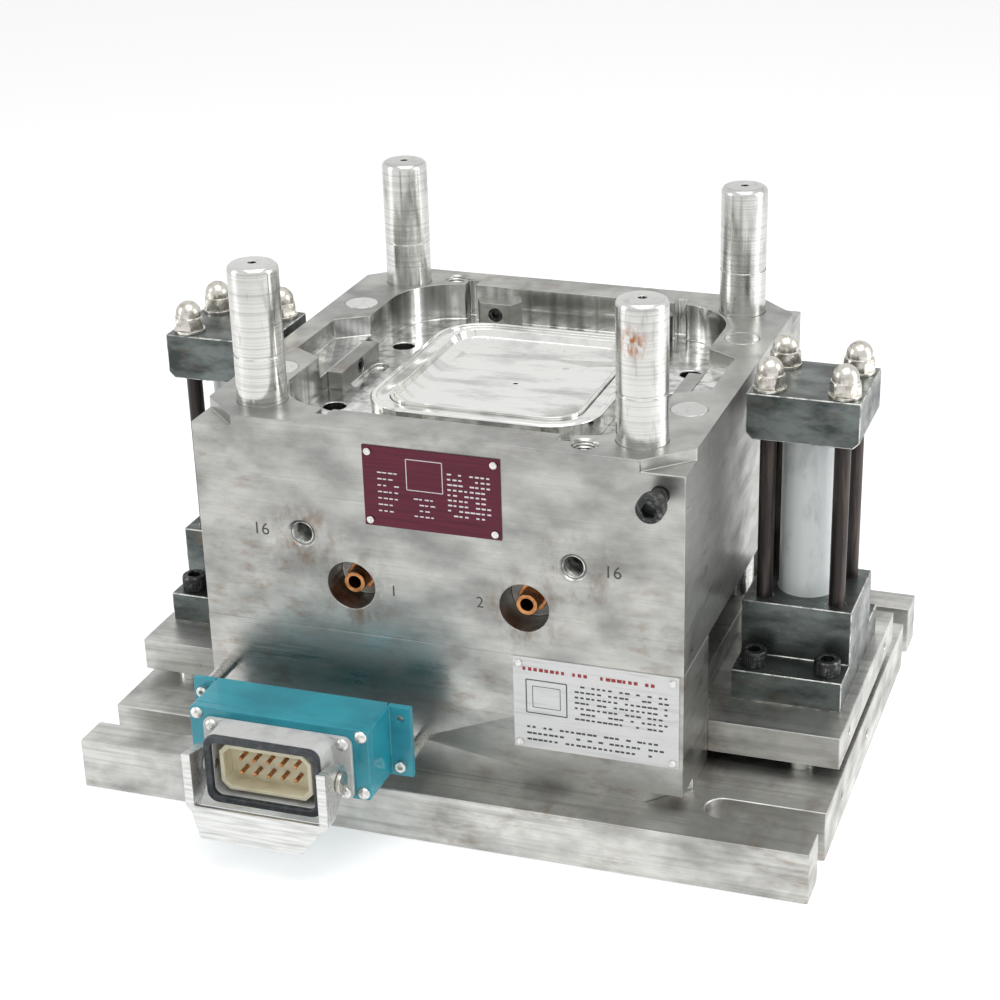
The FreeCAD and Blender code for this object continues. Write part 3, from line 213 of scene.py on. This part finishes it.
def steel_wear(tree, shader, lines, clouds, low, high, depth_mm):
    """Roughness follows the clouds, and the lines are cut into the surface."""
    value = add(tree, "Math", {0: spread(tree, clouds, 0.35, 0.7, low, high),
                               1: spread(tree, lines, 0.35, 0.75, -0.05, 0.07)}, operation="ADD")
    tree.links.new(value.outputs[0], shader.inputs["Roughness"])
    carve(tree, shader, lines, depth_mm, 0.5)


plate_steel, tree, shader, colour, lines, clouds = ground_steel(
    "surface-ground tool steel", "#8f908d", "#b6b6b2", "#7a6450", 0.36)
steel_wear(tree, shader, lines, clouds, 0.30, 0.46, 0.02)
tree.links.new(colour, shader.inputs["Base Color"])

# The cavity plate is the same steel, but oil creeps out of its holes, and its pocket is polished; the pocket's colour
# is also lightened and striped with painted highlights and reflections.
cavity_steel, tree, shader, colour, lines, clouds = ground_steel(
    "surface-ground tool steel, oiled round the holes", "#8c8d8a", "#b4b4b0", "#7a6450", 0.36)
halo = None
for hole in lifting_holes + water_ports:
    ring = near(tree, (hole[0], front_y, hole[2] - 4 * MM), 13, 34)
    halo = ring if halo is None else add(tree, "Math", {0: halo, 1: ring}, operation="MAXIMUM").outputs[0]
creep = times(tree, halo, spread(tree, noise(tree, (9, 9, 14), 4.0, 0.6), 0.45, 0.7, 0.0, 0.75))
colour = tint(tree, colour, "#6d543f", creep)
pocket = inside(tree, (-0.1345, -0.1297, top_z - 0.030), (0.1345, 0.1297, top_z - 0.0006), 0.4)
# Painted highlights and reflections: inside the pocket the colour is lightened and banded, with tall bright and dark
# stripes on the walls. The same bands also vary the roughness, which is the real polish.
highlight_and_polish_bands = noise(tree, (7, 7, 400), 2.0, 0.5)
bright = tint(tree, "#d9d9d6", "#9c9d9b", spread(tree, highlight_and_polish_bands, 0.42, 0.66))
picked = add(tree, "Mix", {0: pocket, 6: colour, 7: bright}, data_type="RGBA").outputs[2]
tree.links.new(picked, shader.inputs["Base Color"])
dull = add(tree, "Math", {0: spread(tree, clouds, 0.35, 0.7, 0.30, 0.44),
                          1: spread(tree, lines, 0.35, 0.75, -0.05, 0.07)}, operation="ADD").outputs[0]
shine = spread(tree, highlight_and_polish_bands, 0.3, 0.7, 0.12, 0.24)
value = add(tree, "Mix", {0: pocket, 2: dull, 3: shine}, data_type="FLOAT").outputs[0]
tree.links.new(value, shader.inputs["Roughness"])
carve(tree, shader, lines, 0.02, 0.5)
print("ground steel: lines 0.9 mm apart, clouds 38 mm, oil round", len(lifting_holes + water_ports), "holes")

# %% [markdown]
# ## Milled steel
#
# The clamp plate and the ejector plates are cheaper steel, face-milled and then handled, bolted down and
# knocked about. They are brighter and more matt than the ground plates, with long streaks and darker
# patches where oil and dust have dried.

# %% Milled steel
milled_steel, tree, shader, colour, lines, clouds = ground_steel(
    "face-milled machine steel", "#9a9a97", "#cfcfcb", "#84705c", 0.42)
streaks = across_or_along(tree, 5.0, 160)
colour = tint(tree, colour, "#7d7d7a", spread(tree, streaks, 0.5, 0.75, 0.0, 0.6))
specks = spread(tree, noise(tree, (5, 5, 5), 5.0, 0.7), 0.64, 0.74, 0.0, 0.5)
colour = tint(tree, colour, "#6e665c", specks)
tree.links.new(colour, shader.inputs["Base Color"])
steel_wear(tree, shader, lines, clouds, 0.34, 0.52, 0.03)
print("milled steel: streaks 5 mm apart")

# %% [markdown]
# ## Hardened pins and polished mould steel
#
# Leader pins are hardened and ground between centres, so their fine lines run round them: noise that is
# squeezed along Z and stretched across it. A little varnish-brown oil has dried on the front right pin.
# The core and the ring are polished by hand until they mirror, and only wiping marks are left.

# %% Hardened pins and mirror-polished steel
pin_steel, tree, shader = finish("cylindrically ground hardened steel", "#c9c9c6", 1.0, 0.22)
turns = noise(tree, (300, 300, 1.1), 3.0, 0.6)
wear = noise(tree, (6, 6, 28), 3.0, 0.6)
colour = tint(tree, "#cfcfcc", "#8e8e8b", spread(tree, turns, 0.46, 0.74, 0.0, 0.6))
colour = tint(tree, colour, "#77746f", spread(tree, wear, 0.55, 0.75, 0.0, 0.5))
right_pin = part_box("front_right_leader_pin")
stain = near(tree, (right_pin[0][0] + 0.016, right_pin[0][1], right_pin[1][2] - 0.022), 3, 12)
stain = times(tree, stain, spread(tree, noise(tree, (2.5, 2.5, 5), 3.0), 0.42, 0.6))
colour = tint(tree, colour, "#a1663a", stain)
tree.links.new(colour, shader.inputs["Base Color"])
tree.links.new(spread(tree, wear, 0.35, 0.7, 0.14, 0.34), shader.inputs["Roughness"])
carve(tree, shader, turns, 0.012, 0.4)

mirror_steel, tree, shader = finish("mirror-polished mould steel", "#dededb", 1.0, 0.1)
wiped = noise(tree, (40, 14, 40), 4.0, 0.6)
colour = tint(tree, "#e2e2df", "#b9bab8", spread(tree, wiped, 0.5, 0.7))
pits = spread(tree, noise(tree, (2.2, 2.2, 2.2), 2.0), 0.70, 0.76, 0.0, 0.45)
tree.links.new(tint(tree, colour, "#8b7f70", pits), shader.inputs["Base Color"])
tree.links.new(spread(tree, wiped, 0.35, 0.7, 0.07, 0.20), shader.inputs["Roughness"])
carve(tree, shader, noise(tree, (18, 18, 18), 3.0), 0.05, 0.35)
print("pins: lines round them 1.1 mm apart; core and ring: roughness 0.07 to 0.20")

# %% [markdown]
# ## Blackened steel
#
# The cylinder caps are machined steel, chemically blackened: a thin grey-green skin that still shows the
# metal's gloss, wiped thin on the flats and rubbed bright on the edges. So the bevels of these pieces get
# a second material, worn steel. Screws and tie rods are blackened too, but darker and oilier.

# %% Blackened steel, worn steel and screws
cap_steel, tree, shader = finish("chemically blackened steel, oiled", "#626866", 0.85, 0.34)
wiped = noise(tree, (30, 18, 12), 4.0, 0.6)
colour = tint(tree, "#6b7270", "#3c4241", spread(tree, wiped, 0.40, 0.66))
colour = tint(tree, colour, "#5b4f45", spread(tree, noise(tree, (14, 14, 10), 4.0), 0.58, 0.72, 0.0, 0.6))
tree.links.new(colour, shader.inputs["Base Color"])
tree.links.new(spread(tree, wiped, 0.3, 0.7, 0.22, 0.42), shader.inputs["Roughness"])
carve(tree, shader, across_or_along(tree, 0.8, 40), 0.015, 0.5)

worn_steel, tree, shader = finish("bare steel, rubbed bright", "#b9bab6", 1.0, 0.3)
patchy = spread(tree, noise(tree, (6, 6, 6), 3.0), 0.36, 0.56)
tree.links.new(tint(tree, "#7d8280", "#cfcfca", patchy), shader.inputs["Base Color"])

screw_steel, tree, shader = finish("black-oxide screw steel", "#3b3d3d", 0.8, 0.38)
rubbed = noise(tree, (3, 3, 3), 3.0)
tree.links.new(tint(tree, "#353736", "#6f716f", spread(tree, rubbed, 0.5, 0.72)), shader.inputs["Base Color"])
carve(tree, shader, rubbed, 0.03, 0.3)

rod_steel, tree, shader = finish("phosphated steel, oil-dark", "#2f2926", 0.55, 0.36)
runs = noise(tree, (5, 5, 60), 3.0)
tree.links.new(tint(tree, "#2b2624", "#5a504a", spread(tree, runs, 0.48, 0.72)), shader.inputs["Base Color"])
tree.links.new(spread(tree, runs, 0.3, 0.7, 0.28, 0.46), shader.inputs["Roughness"])
print("blackened steel: caps, screws, tie rods")

# %% [markdown]
# ## Paint, plating, brass, plastic and rubber
#
# The small parts each have a finish of their own. Enamel and powder coat have a slight orange peel, which
# is a shallow bump of 1 to 2 mm grains. Zinc plating is bright with a warm cast. The nipples are brass
# that has gone the colour of copper from hot water. The insert is moulded polycarbonate, a little waxy, so
# some light goes under its skin.

# %% Paint, plating, brass, plastic and rubber
barrel_paint, tree, shader = finish("satin white enamel on steel tube", "#dfe5e5", 0.0, 0.36, Coat_Weight=0.25)
dirt = noise(tree, (12, 12, 30), 4.0, 0.6)
tree.links.new(tint(tree, "#e2e8e8", "#b9c2c1", spread(tree, dirt, 0.52, 0.78)), shader.inputs["Base Color"])
carve(tree, shader, noise(tree, (1.5, 1.5, 1.5)), 0.02, 0.3)

nut_steel, tree, shader = finish("nickel-plated steel", "#c2bfb8", 1.0, 0.24)
rubbed = noise(tree, (4, 4, 4), 3.0)
tree.links.new(tint(tree, "#cbc8c1", "#8f8778", spread(tree, rubbed, 0.5, 0.74)), shader.inputs["Base Color"])
tree.links.new(spread(tree, rubbed, 0.3, 0.7, 0.16, 0.36), shader.inputs["Roughness"])

zinc_steel, tree, shader = finish("zinc-plated steel", "#d2d2ce", 1.0, 0.33)
grain = noise(tree, (2, 2, 2), 3.0)
tree.links.new(tint(tree, "#d8d8d5", "#a8a8a2", spread(tree, grain, 0.45, 0.72)), shader.inputs["Base Color"])
carve(tree, shader, grain, 0.02, 0.3)

brass, tree, shader = finish("turned brass, heat-browned", "#b3784a", 1.0, 0.3)
heat = noise(tree, (4, 3, 4), 3.0)
tree.links.new(tint(tree, "#c08a5c", "#7c4a2c", spread(tree, heat, 0.42, 0.7)), shader.inputs["Base Color"])
carve(tree, shader, noise(tree, (60, 0.8, 60)), 0.015, 0.4)

lever_steel, tree, shader = finish("pressed stainless steel", "#d3d4d2", 1.0, 0.38)
rolled = noise(tree, (30, 2, 2), 3.0)
tree.links.new(tint(tree, "#dbdcda", "#b2b3b1", spread(tree, rolled, 0.42, 0.72)), shader.inputs["Base Color"])
carve(tree, shader, rolled, 0.02, 0.3)

teal_enamel, tree, shader = finish("teal enamel on cast aluminium", "#1f93a5", 0.0, 0.3, Coat_Weight=0.35)
faded = noise(tree, (30, 20, 20), 3.0)
tree.links.new(tint(tree, "#2299ab", "#1b8496", spread(tree, faded, 0.4, 0.7)), shader.inputs["Base Color"])
carve(tree, shader, noise(tree, (1.6, 1.6, 1.6)), 0.05, 0.3)

powder_coat, tree, shader = finish("light grey powder coat on die-cast zinc", "#c6c7c5", 0.0, 0.45)
peel = noise(tree, (1.4, 1.4, 1.4), 3.0)
tree.links.new(tint(tree, "#cbccca", "#a9aaa8", spread(tree, noise(tree, (12, 12, 12), 4.0), 0.5, 0.75)),
               shader.inputs["Base Color"])
carve(tree, shader, peel, 0.08, 0.35)

rubber, tree, shader = finish("moulded nitrile rubber", "#33373b", 0.0, 0.5)
bloom = noise(tree, (5, 5, 5), 4.0)
tree.links.new(tint(tree, "#303438", "#4e5459", spread(tree, bloom, 0.45, 0.7)), shader.inputs["Base Color"])
carve(tree, shader, noise(tree, (0.9, 0.9, 0.9)), 0.03, 0.3)

cream_plastic, tree, shader = finish("moulded polycarbonate, cream", "#e6e0c4", 0.0, 0.42,
                                     Subsurface_Weight=0.15, Subsurface_Scale=0.003)
flow = noise(tree, (18, 6, 18), 3.0)
tree.links.new(tint(tree, "#eae4ca", "#cfc7a6", spread(tree, flow, 0.45, 0.75)), shader.inputs["Base Color"])
carve(tree, shader, noise(tree, (1.0, 1.0, 1.0)), 0.02, 0.25)

maroon_plate, tree, shader = finish("maroon anodised aluminium", "#5c1c30", 0.45, 0.4)
rolled = noise(tree, (40, 1, 1.2), 3.0)
tree.links.new(tint(tree, "#611d33", "#4a1526", spread(tree, rolled, 0.4, 0.7)), shader.inputs["Base Color"])
carve(tree, shader, rolled, 0.01, 0.3)

white_plate, tree, shader = finish("white-coated aluminium", "#e4e5e4", 0.0, 0.4, Coat_Weight=0.2)
rolled = noise(tree, (30, 2, 2), 3.0)
tree.links.new(tint(tree, "#e8e9e8", "#cfd0cf", spread(tree, rolled, 0.5, 0.78)), shader.inputs["Base Color"])
carve(tree, shader, rolled, 0.01, 0.2)


def ink(name, hex_value, thin_hex):
    """Screen-printing ink, worn a little thin in places."""
    material, tree, shader = finish(name, hex_value, 0.0, 0.55)
    worn = spread(tree, noise(tree, (1.5, 1.5, 1.5), 3.0), 0.55, 0.8, 0.0, 0.5)
    tree.links.new(tint(tree, hex_value, thin_hex, worn), shader.inputs["Base Color"])
    return material


white_ink = ink("white screen ink", "#e9e6e6", "#a98c95")
dark_ink = ink("dark screen ink", "#3c3a3d", "#8a898a")
red_ink = ink("red screen ink", "#9c2c33", "#c98488")
stamp_shade = ink("stamped steel, dirt-filled", "#474542", "#77746f")
print("materials:", len(bpy.data.materials))

# %% [markdown]
# ## Broken edges
#
# No machined edge is sharp: a file or a chamfer takes half a millimetre off, and that narrow strip is what
# catches the light. Each visible piece is copied, its loose triangles are merged and dissolved into whole
# faces, and a Bevel modifier breaks the edges. The copy then stands for the CAD piece.

# %% Finishes and broken edges
looks = {
    cavity_steel: {"cavity_plate": 0.7},
    plate_steel: {"front_spacer_block": 0.7, "back_spacer_block": 0.7, "wear_blocks": 0.4,
                  "side_wear_plates": 0.4, "water_channel_plug": 0.2},
    milled_steel: {"base_clamp_plate": 0.9, "ejector_plate": 0.8, "ejector_retainer_plate": 0.6},
    pin_steel: {"front_left_leader_pin": 0.3, "front_right_leader_pin": 0.3, "back_left_leader_pin": 0.3,
                "back_right_leader_pin": 0.3, "return_pins": 0.4, "push_rods": 0.2, "vent_pin": 0.1,
                "ejector_guide_pins": 0.3, "left_piston_rod": 0.3, "right_piston_rod": 0.3,
                "support_pillars": 0.5, "stop_buttons": 0.3, "hot_runner_nozzle": 0.2},
    mirror_steel: {"core_insert": 0.4, "stripper_ring": 0.5},
    cap_steel: {"left_front_cap": 0.7, "left_rear_cap": 0.7, "right_front_cap": 0.7,
                "right_rear_cap": 0.7},
    barrel_paint: {"left_barrel": 0.3, "right_barrel": 0.3},
    rod_steel: {"tie_rods": 0.3},
    nut_steel: {"acorn_nuts": 0.3, "tie_rod_washers": 0.3, "lever_pivots": 0.4},
    screw_steel: {"flange_bolts": 0.3, "strap_screw": 0.4, "wear_screws": 0.2, "frame_screws": 0.4,
                  "clamp_plate_screws": 0.3, "cavity_plate_screws": 0.3, "core_insert_screws": 0.3,
                  "ejector_plate_screws": 0.3},
    zinc_steel: {"box_cover_screws": 0.15, "box_standoffs": 0.3, "box_lug_screws": 0.2,
                 "housing_screws": 0.15, "plate_rivets": 0.35},
    brass: {"left_water_nipple": 0.3, "right_water_nipple": 0.3, "ejector_guide_bushes": 0.3,
            "connector_contacts": 0.2, "nozzle_heater": 0.3},
    lever_steel: {"locking_lever": 0.8},
    teal_enamel: {"junction_box": 0.6, "box_cover": 0.7},
    powder_coat: {"connector_housing": 0.7},
    rubber: {"connector_gasket": 1.1},
    cream_plastic: {"connector_insert": 0.4},
    maroon_plate: {"wiring_chart_plate": 0.2},
    white_plate: {"mould_data_plate": 0.2},
}


def dressed(node, material, edge_mm):
    """A copy of a CAD piece, merged, with whole faces and its edges broken by edge_mm."""
    mesh = nodes[node].data.copy()
    form = bmesh.new()
    form.from_mesh(mesh)
    bmesh.ops.remove_doubles(form, verts=form.verts, dist=0.002 * MM)
    bmesh.ops.dissolve_limit(form, angle_limit=math.radians(0.4), verts=form.verts, edges=form.edges)
    form.to_mesh(mesh)
    form.free()
    mesh.materials.clear()
    mesh.materials.append(material)
    mesh.shade_smooth()
    mesh.set_sharp_from_angle(angle=math.radians(32))
    piece = bpy.data.objects.new(node + "_finished", mesh)
    bpy.context.collection.objects.link(piece)
    bevel = piece.modifiers.new("broken edge", "BEVEL")
    bevel.width, bevel.segments = edge_mm * MM, 2
    bevel.limit_method, bevel.angle_limit = "ANGLE", math.radians(40)
    bevel.use_clamp_overlap = False
    bevel.harden_normals = True
    if material is cap_steel:
        mesh.materials.append(worn_steel)
        bevel.material = 1
    return piece


for material, members in looks.items():
    for node, edge_mm in members.items():
        piece = dressed(node, material, edge_mm)
        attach(piece, body_of[node])
        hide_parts(node)
print("dressed:", sum(len(members) for members in looks.values()), "of", len(nodes))

# %% [markdown]
# ## Printed plates
#
# Two thin plates are riveted to the front. Their print is left generic: a frame, rules and short bars
# where rows of print would be. Each bar is a thin box of ink, and all the boxes of one colour are worked
# out at once, as arrays of centres and half sizes.

# %% Bars of ink on the plates
def boxes(name, centres, sizes, material, ride_on):
    """One mesh of many boxes: eight corners each, a centre plus or minus half a size along each axis."""
    centres, sizes = np.asarray(centres, float), np.asarray(sizes, float)
    signs = np.array([[x, y, z] for x in (-1, 1) for y in (-1, 1) for z in (-1, 1)])
    corners = (centres[:, None] + signs * sizes[:, None] / 2).reshape(-1, 3)
    sides = np.array([[0, 1, 3, 2], [4, 6, 7, 5], [0, 4, 5, 1], [2, 3, 7, 6], [0, 2, 6, 4], [1, 5, 7, 3]])
    faces = (8 * np.arange(len(centres))[:, None, None] + sides).reshape(-1, 4)
    mesh = bpy.data.meshes.new(name)
    mesh.from_pydata(corners.tolist(), [], faces.tolist())
    mesh.materials.append(material)
    piece = bpy.data.objects.new(name, mesh)
    bpy.context.collection.objects.link(piece)
    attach(piece, ride_on)
    print(name, len(centres), "bars")
    return piece


def rows(plate, left, right, first, step, count, height, seed):
    """Rows of short bars with gaps, as centres and sizes, placed in millimetres from the plate's corner."""
    low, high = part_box(plate)
    chance = np.random.default_rng(seed)
    starts = np.arange(left, right - 1.5, 3.4)
    x, z = np.meshgrid(starts, first + step * np.arange(count))
    keep = chance.random(x.shape) > 0.22
    length = chance.uniform(1.6, 3.0, x.shape)[keep]
    x, z = x[keep] + length / 2, z[keep]
    centres = np.stack([low[0] + x * MM, np.full(x.shape, low[1] - 0.02 * MM), low[2] + z * MM], 1)
    sizes = np.stack([length * MM, np.full(x.shape, 0.06 * MM), np.full(x.shape, height * MM)], 1)
    return centres, sizes


groups = [rows("wiring_chart_plate", 52, 78, 12, 3.2, 9, 1.0, 3), rows("wiring_chart_plate", 9, 24, 10, 4.0, 7, 0.8, 4),
          rows("wiring_chart_plate", 31, 46, 9, 3.6, 4, 0.8, 5)]
boxes("chart_print", np.vstack([g[0] for g in groups]), np.vstack([g[1] for g in groups]), white_ink,
      "mould_frame")
groups = [rows("mould_data_plate", 38, 96, 24, 3.6, 7, 1.2, 6), rows("mould_data_plate", 8, 92, 6, 4.2, 3, 1.3, 7)]
boxes("data_print", np.vstack([g[0] for g in groups]), np.vstack([g[1] for g in groups]), dark_ink,
      "mould_frame")
centres, sizes = rows("mould_data_plate", 6, 92, 53, 1.0, 1, 2.2, 8)
boxes("data_heading", centres, sizes, red_ink, "mould_frame")


def frame_line(name, plate, x0, x1, z0, z1, material, wide=0.5):
    """Four bars round a rectangle given in millimetres from the plate's corner."""
    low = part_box(plate)[0]
    mid_x, mid_z = (x0 + x1) / 2, (z0 + z1) / 2
    centres = np.array([[mid_x, z0], [mid_x, z1], [x0, mid_z], [x1, mid_z]])
    sizes = np.array([[x1 - x0, wide], [x1 - x0, wide], [wide, z1 - z0], [wide, z1 - z0]])
    level = np.full((4, 1), low[1] / MM - 0.02)
    points = np.hstack([centres[:, :1] + low[0] / MM, level, centres[:, 1:] + low[2] / MM])
    return boxes(name, points * MM, np.insert(sizes, 1, 0.06, 1) * MM, material, "mould_frame")


frame_line("chart_frame", "wiring_chart_plate", 27, 49, 25, 44, white_ink)
frame_line("data_outline", "mould_data_plate", 8, 33, 24, 46, dark_ink, 0.7)
frame_line("data_inner_outline", "mould_data_plate", 12, 29, 28, 42, dark_ink, 0.4)

# %% [markdown]
# ## Stamped numbers
#
# A toolmaker stamps plain numbers beside the holes: the thread size by each lifting hole and a circuit
# number by each water port. The punch leaves a dent that fills with dirt, so each number is a thin dark
# piece, level with the face.

# %% Stamped numbers
def stamped(name, words, x, z, height_mm):
    """Text made a mesh, then stood upright on the front face at x, z."""
    curve = bpy.data.curves.new(name, "FONT")
    curve.body, curve.size, curve.extrude = words, height_mm * MM, 0.03 * MM
    curve.align_x, curve.align_y = "CENTER", "CENTER"
    text = bpy.data.objects.new(name + "_curve", curve)
    mesh = bpy.data.meshes.new_from_object(text)
    bpy.data.objects.remove(text)
    mesh.transform(Matrix.Translation((x, front_y - 0.02 * MM, z)) @ Matrix.Rotation(math.pi / 2, 4, "X"))
    mesh.materials.clear()
    mesh.materials.append(stamp_shade)
    piece = bpy.data.objects.new(name, mesh)
    bpy.context.collection.objects.link(piece)
    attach(piece, "mould_frame")


for number, hole in enumerate(lifting_holes):
    side = math.copysign(1, hole[0])
    stamped(f"thread_number_{number}", "16", hole[0] + (24 if side > 0 else -26) * MM, hole[2], 11)
for number, port in enumerate(water_ports):
    side = math.copysign(1, port[0])
    stamped(f"water_number_{number}", str(number + 1), port[0] - side * 27 * MM, port[2], 10)

# %% [markdown]
# ## Knurled heads and threads
#
# Cap screws have a knurled band, so that fingers can turn them. It is a surface of revolution whose radius
# rises and falls forty times in one turn. A tapped hole shows its thread the same way: the radius follows
# the height, and the whole pattern climbs one pitch in each turn.

# %% Knurls and threads
def turned(name, centre, axis, radius_of, inner, length_mm, turns, rings, material, body):
    """A closed sleeve round an axis. Its working wall is radius_of(angle, height) and its other wall is
    the plain radius inner; both are rings of points that are joined into one loop of rows."""
    angle = np.linspace(0, 2 * np.pi, turns, endpoint=False)[None, :]
    height = np.linspace(0, length_mm, rings)[:, None]
    radius = np.vstack([radius_of(angle, height) + 0 * (angle + height), np.full((rings, turns), float(inner))])
    level = np.vstack([height + 0 * angle, height[::-1] + 0 * angle])
    turn = np.vstack([angle + 0 * height] * 2)
    points = np.stack([radius * np.cos(turn), radius * np.sin(turn), level], -1).reshape(-1, 3) * MM
    basis = np.array(Vector(axis).to_track_quat("Z", "Y").to_matrix())
    points = points @ basis.T + np.array(centre)
    row, column = np.meshgrid(np.arange(2 * rings), np.arange(turns), indexing="ij")
    below, beside = (row + 1) % (2 * rings), (column + 1) % turns
    faces = np.stack([row * turns + column, row * turns + beside,
                      below * turns + beside, below * turns + column], -1).reshape(-1, 4)
    mesh = bpy.data.meshes.new(name)
    mesh.from_pydata(points.tolist(), [], faces.tolist())
    form = bmesh.new()
    form.from_mesh(mesh)
    bmesh.ops.recalc_face_normals(form, faces=form.faces)
    form.to_mesh(mesh)
    form.free()
    mesh.materials.append(material)
    piece = bpy.data.objects.new(name, mesh)
    bpy.context.collection.objects.link(piece)
    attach(piece, body)


def knurl(angle, height):
    """Head radius 8 mm with forty ridges 0.2 mm high."""
    return 8.0 + 0.1 + 0.1 * np.sign(np.cos(40 * angle))


low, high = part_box("strap_screw")
turned("strap_screw_knurl", ((low[0] + high[0]) / 2, low[1] + 1.5 * MM, (low[2] + high[2]) / 2), (0, 1, 0),
       knurl, 7.9, 7.5, 160, 2, screw_steel, "mould_frame")
for side, cap in ((-1, "left_front_cap"), (1, "right_front_cap")):
    low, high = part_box(cap)
    for x in (-23, 23):
        for y in (-45, 45):
            at = ((low[0] + high[0]) / 2 + x * MM, y * MM, low[2] + 20.6 * MM)
            turned(f"{cap}_knurl_{x}_{y}".replace("-", "m"), at, (0, 0, 1), knurl, 7.9, 7.5, 160, 2,
                   screw_steel, "ejector")


def thread(angle, height):
    """A 2 mm pitch thread: radius 6.95 mm less a triangle 0.8 mm deep that climbs with the angle."""
    phase = (height / 2.0 - angle / (2 * np.pi)) % 1.0
    return 6.95 - 0.8 * (1 - np.abs(2 * phase - 1))


for mount in record["mounts"]:
    if mount["kind"] == "threaded_hole" and mount["dims"]["r_mm"] == 7.0:
        into = -Vector(mount["axis"])
        turned(mount["name"] + "_thread", mount["pos_m"], into, thread, 6.99, 20.0, 48, 61, worn_steel,
               "mould_frame")
print("knurls: 9, threads: 4")

# %% [markdown]
# ## Floor, light and camera
#
# The floor is pale and plain. For the camera, and for metal that mirrors it, it glows a little, so that it
# reads as white paper while it still takes the shadow. Metal shows what stands round it, so the lamps are
# large and soft, and two tall strips at the sides draw the bright bands that round pins need.

# %% Floor and world
floor_paper, tree, shader = finish("pale paper", "#f2f2f2", 0.0, 0.9)
path = add(tree, "LightPath")
seen = add(tree, "Math", {0: path.outputs["Is Camera Ray"], 1: path.outputs["Is Glossy Ray"]},
           operation="MAXIMUM").outputs[0]
seen = add(tree, "Math", {0: seen, 1: path.outputs["Is Transmission Ray"]}, operation="MAXIMUM").outputs[0]
glow = spread(tree, seen, 0.0, 1.0, 0.0, 0.42)
shader.inputs["Emission Color"].default_value = (1, 1, 1, 1)
tree.links.new(glow, shader.inputs["Emission Strength"])
mesh = bpy.data.meshes.new("floor")
mesh.from_pydata([(-9, -9, -0.0002), (9, -9, -0.0002), (9, 9, -0.0002), (-9, 9, -0.0002)], [], [(0, 1, 2, 3)])
mesh.materials.append(floor_paper)
floor = bpy.data.objects.new("floor", mesh)
bpy.context.collection.objects.link(floor)

world = bpy.data.worlds.new("studio")
bpy.context.scene.world = world
world.use_nodes = True
tree = world.node_tree
tree.nodes.clear()
path = add(tree, "LightPath")
seen = add(tree, "Math", {0: path.outputs["Is Camera Ray"], 1: path.outputs["Is Glossy Ray"]},
           operation="MAXIMUM").outputs[0]
seen = add(tree, "Math", {0: seen, 1: path.outputs["Is Transmission Ray"]}, operation="MAXIMUM").outputs[0]
dim = add(tree, "Background", Color=(1, 1, 1, 1), Strength=0.5)
white = add(tree, "Background", Color=(1, 1, 1, 1), Strength=1.0)
mixed = add(tree, "MixShader", {0: seen, 1: dim.outputs[0], 2: white.outputs[0]})
add(tree, "OutputWorld", {"Surface": mixed.outputs[0]})


def softbox(name, place, target, wide, tall, power):
    """A rectangular lamp that faces its target."""
    light = bpy.data.lights.new(name, "AREA")
    light.shape, light.size, light.size_y, light.energy = "RECTANGLE", wide, tall, power
    lamp = bpy.data.objects.new(name, light)
    lamp.location = place
    lamp.rotation_euler = (Vector(target) - Vector(place)).to_track_quat("-Z", "Y").to_euler()
    bpy.context.collection.objects.link(lamp)


middle = (0, 0, 0.15)
softbox("top softbox", (0.3, -0.5, 1.9), middle, 1.6, 1.6, 16)
softbox("right strip", (1.25, 0.15, 0.55), middle, 0.5, 1.0, 7)
softbox("left strip", (-1.2, -0.6, 0.55), middle, 0.4, 1.0, 4)

# %% Camera
yaw, pitch, roll = math.radians(-17.56), math.radians(-24.98), math.radians(-0.58)
forward = Vector((math.sin(yaw) * math.cos(pitch), math.cos(yaw) * math.cos(pitch), math.sin(pitch)))
right = forward.cross(Vector((0, 0, 1))).normalized()
up = right.cross(forward)
side = math.cos(roll) * right + math.sin(roll) * up
rise = math.cos(roll) * up - math.sin(roll) * right
lens = bpy.data.cameras.new("camera")
lens.sensor_width, lens.lens = 36.0, 78.54
lens.shift_x, lens.shift_y = -0.097, 0.0494
camera = bpy.data.objects.new("camera", lens)
camera.matrix_world = Matrix.Translation((0.4354, -1.2099, 0.7145)) @ Matrix(
    (side, rise, -forward)).transposed().to_4x4()
bpy.context.collection.objects.link(camera)
bpy.context.scene.camera = camera
bpy.context.scene.view_settings.view_transform = "Standard"
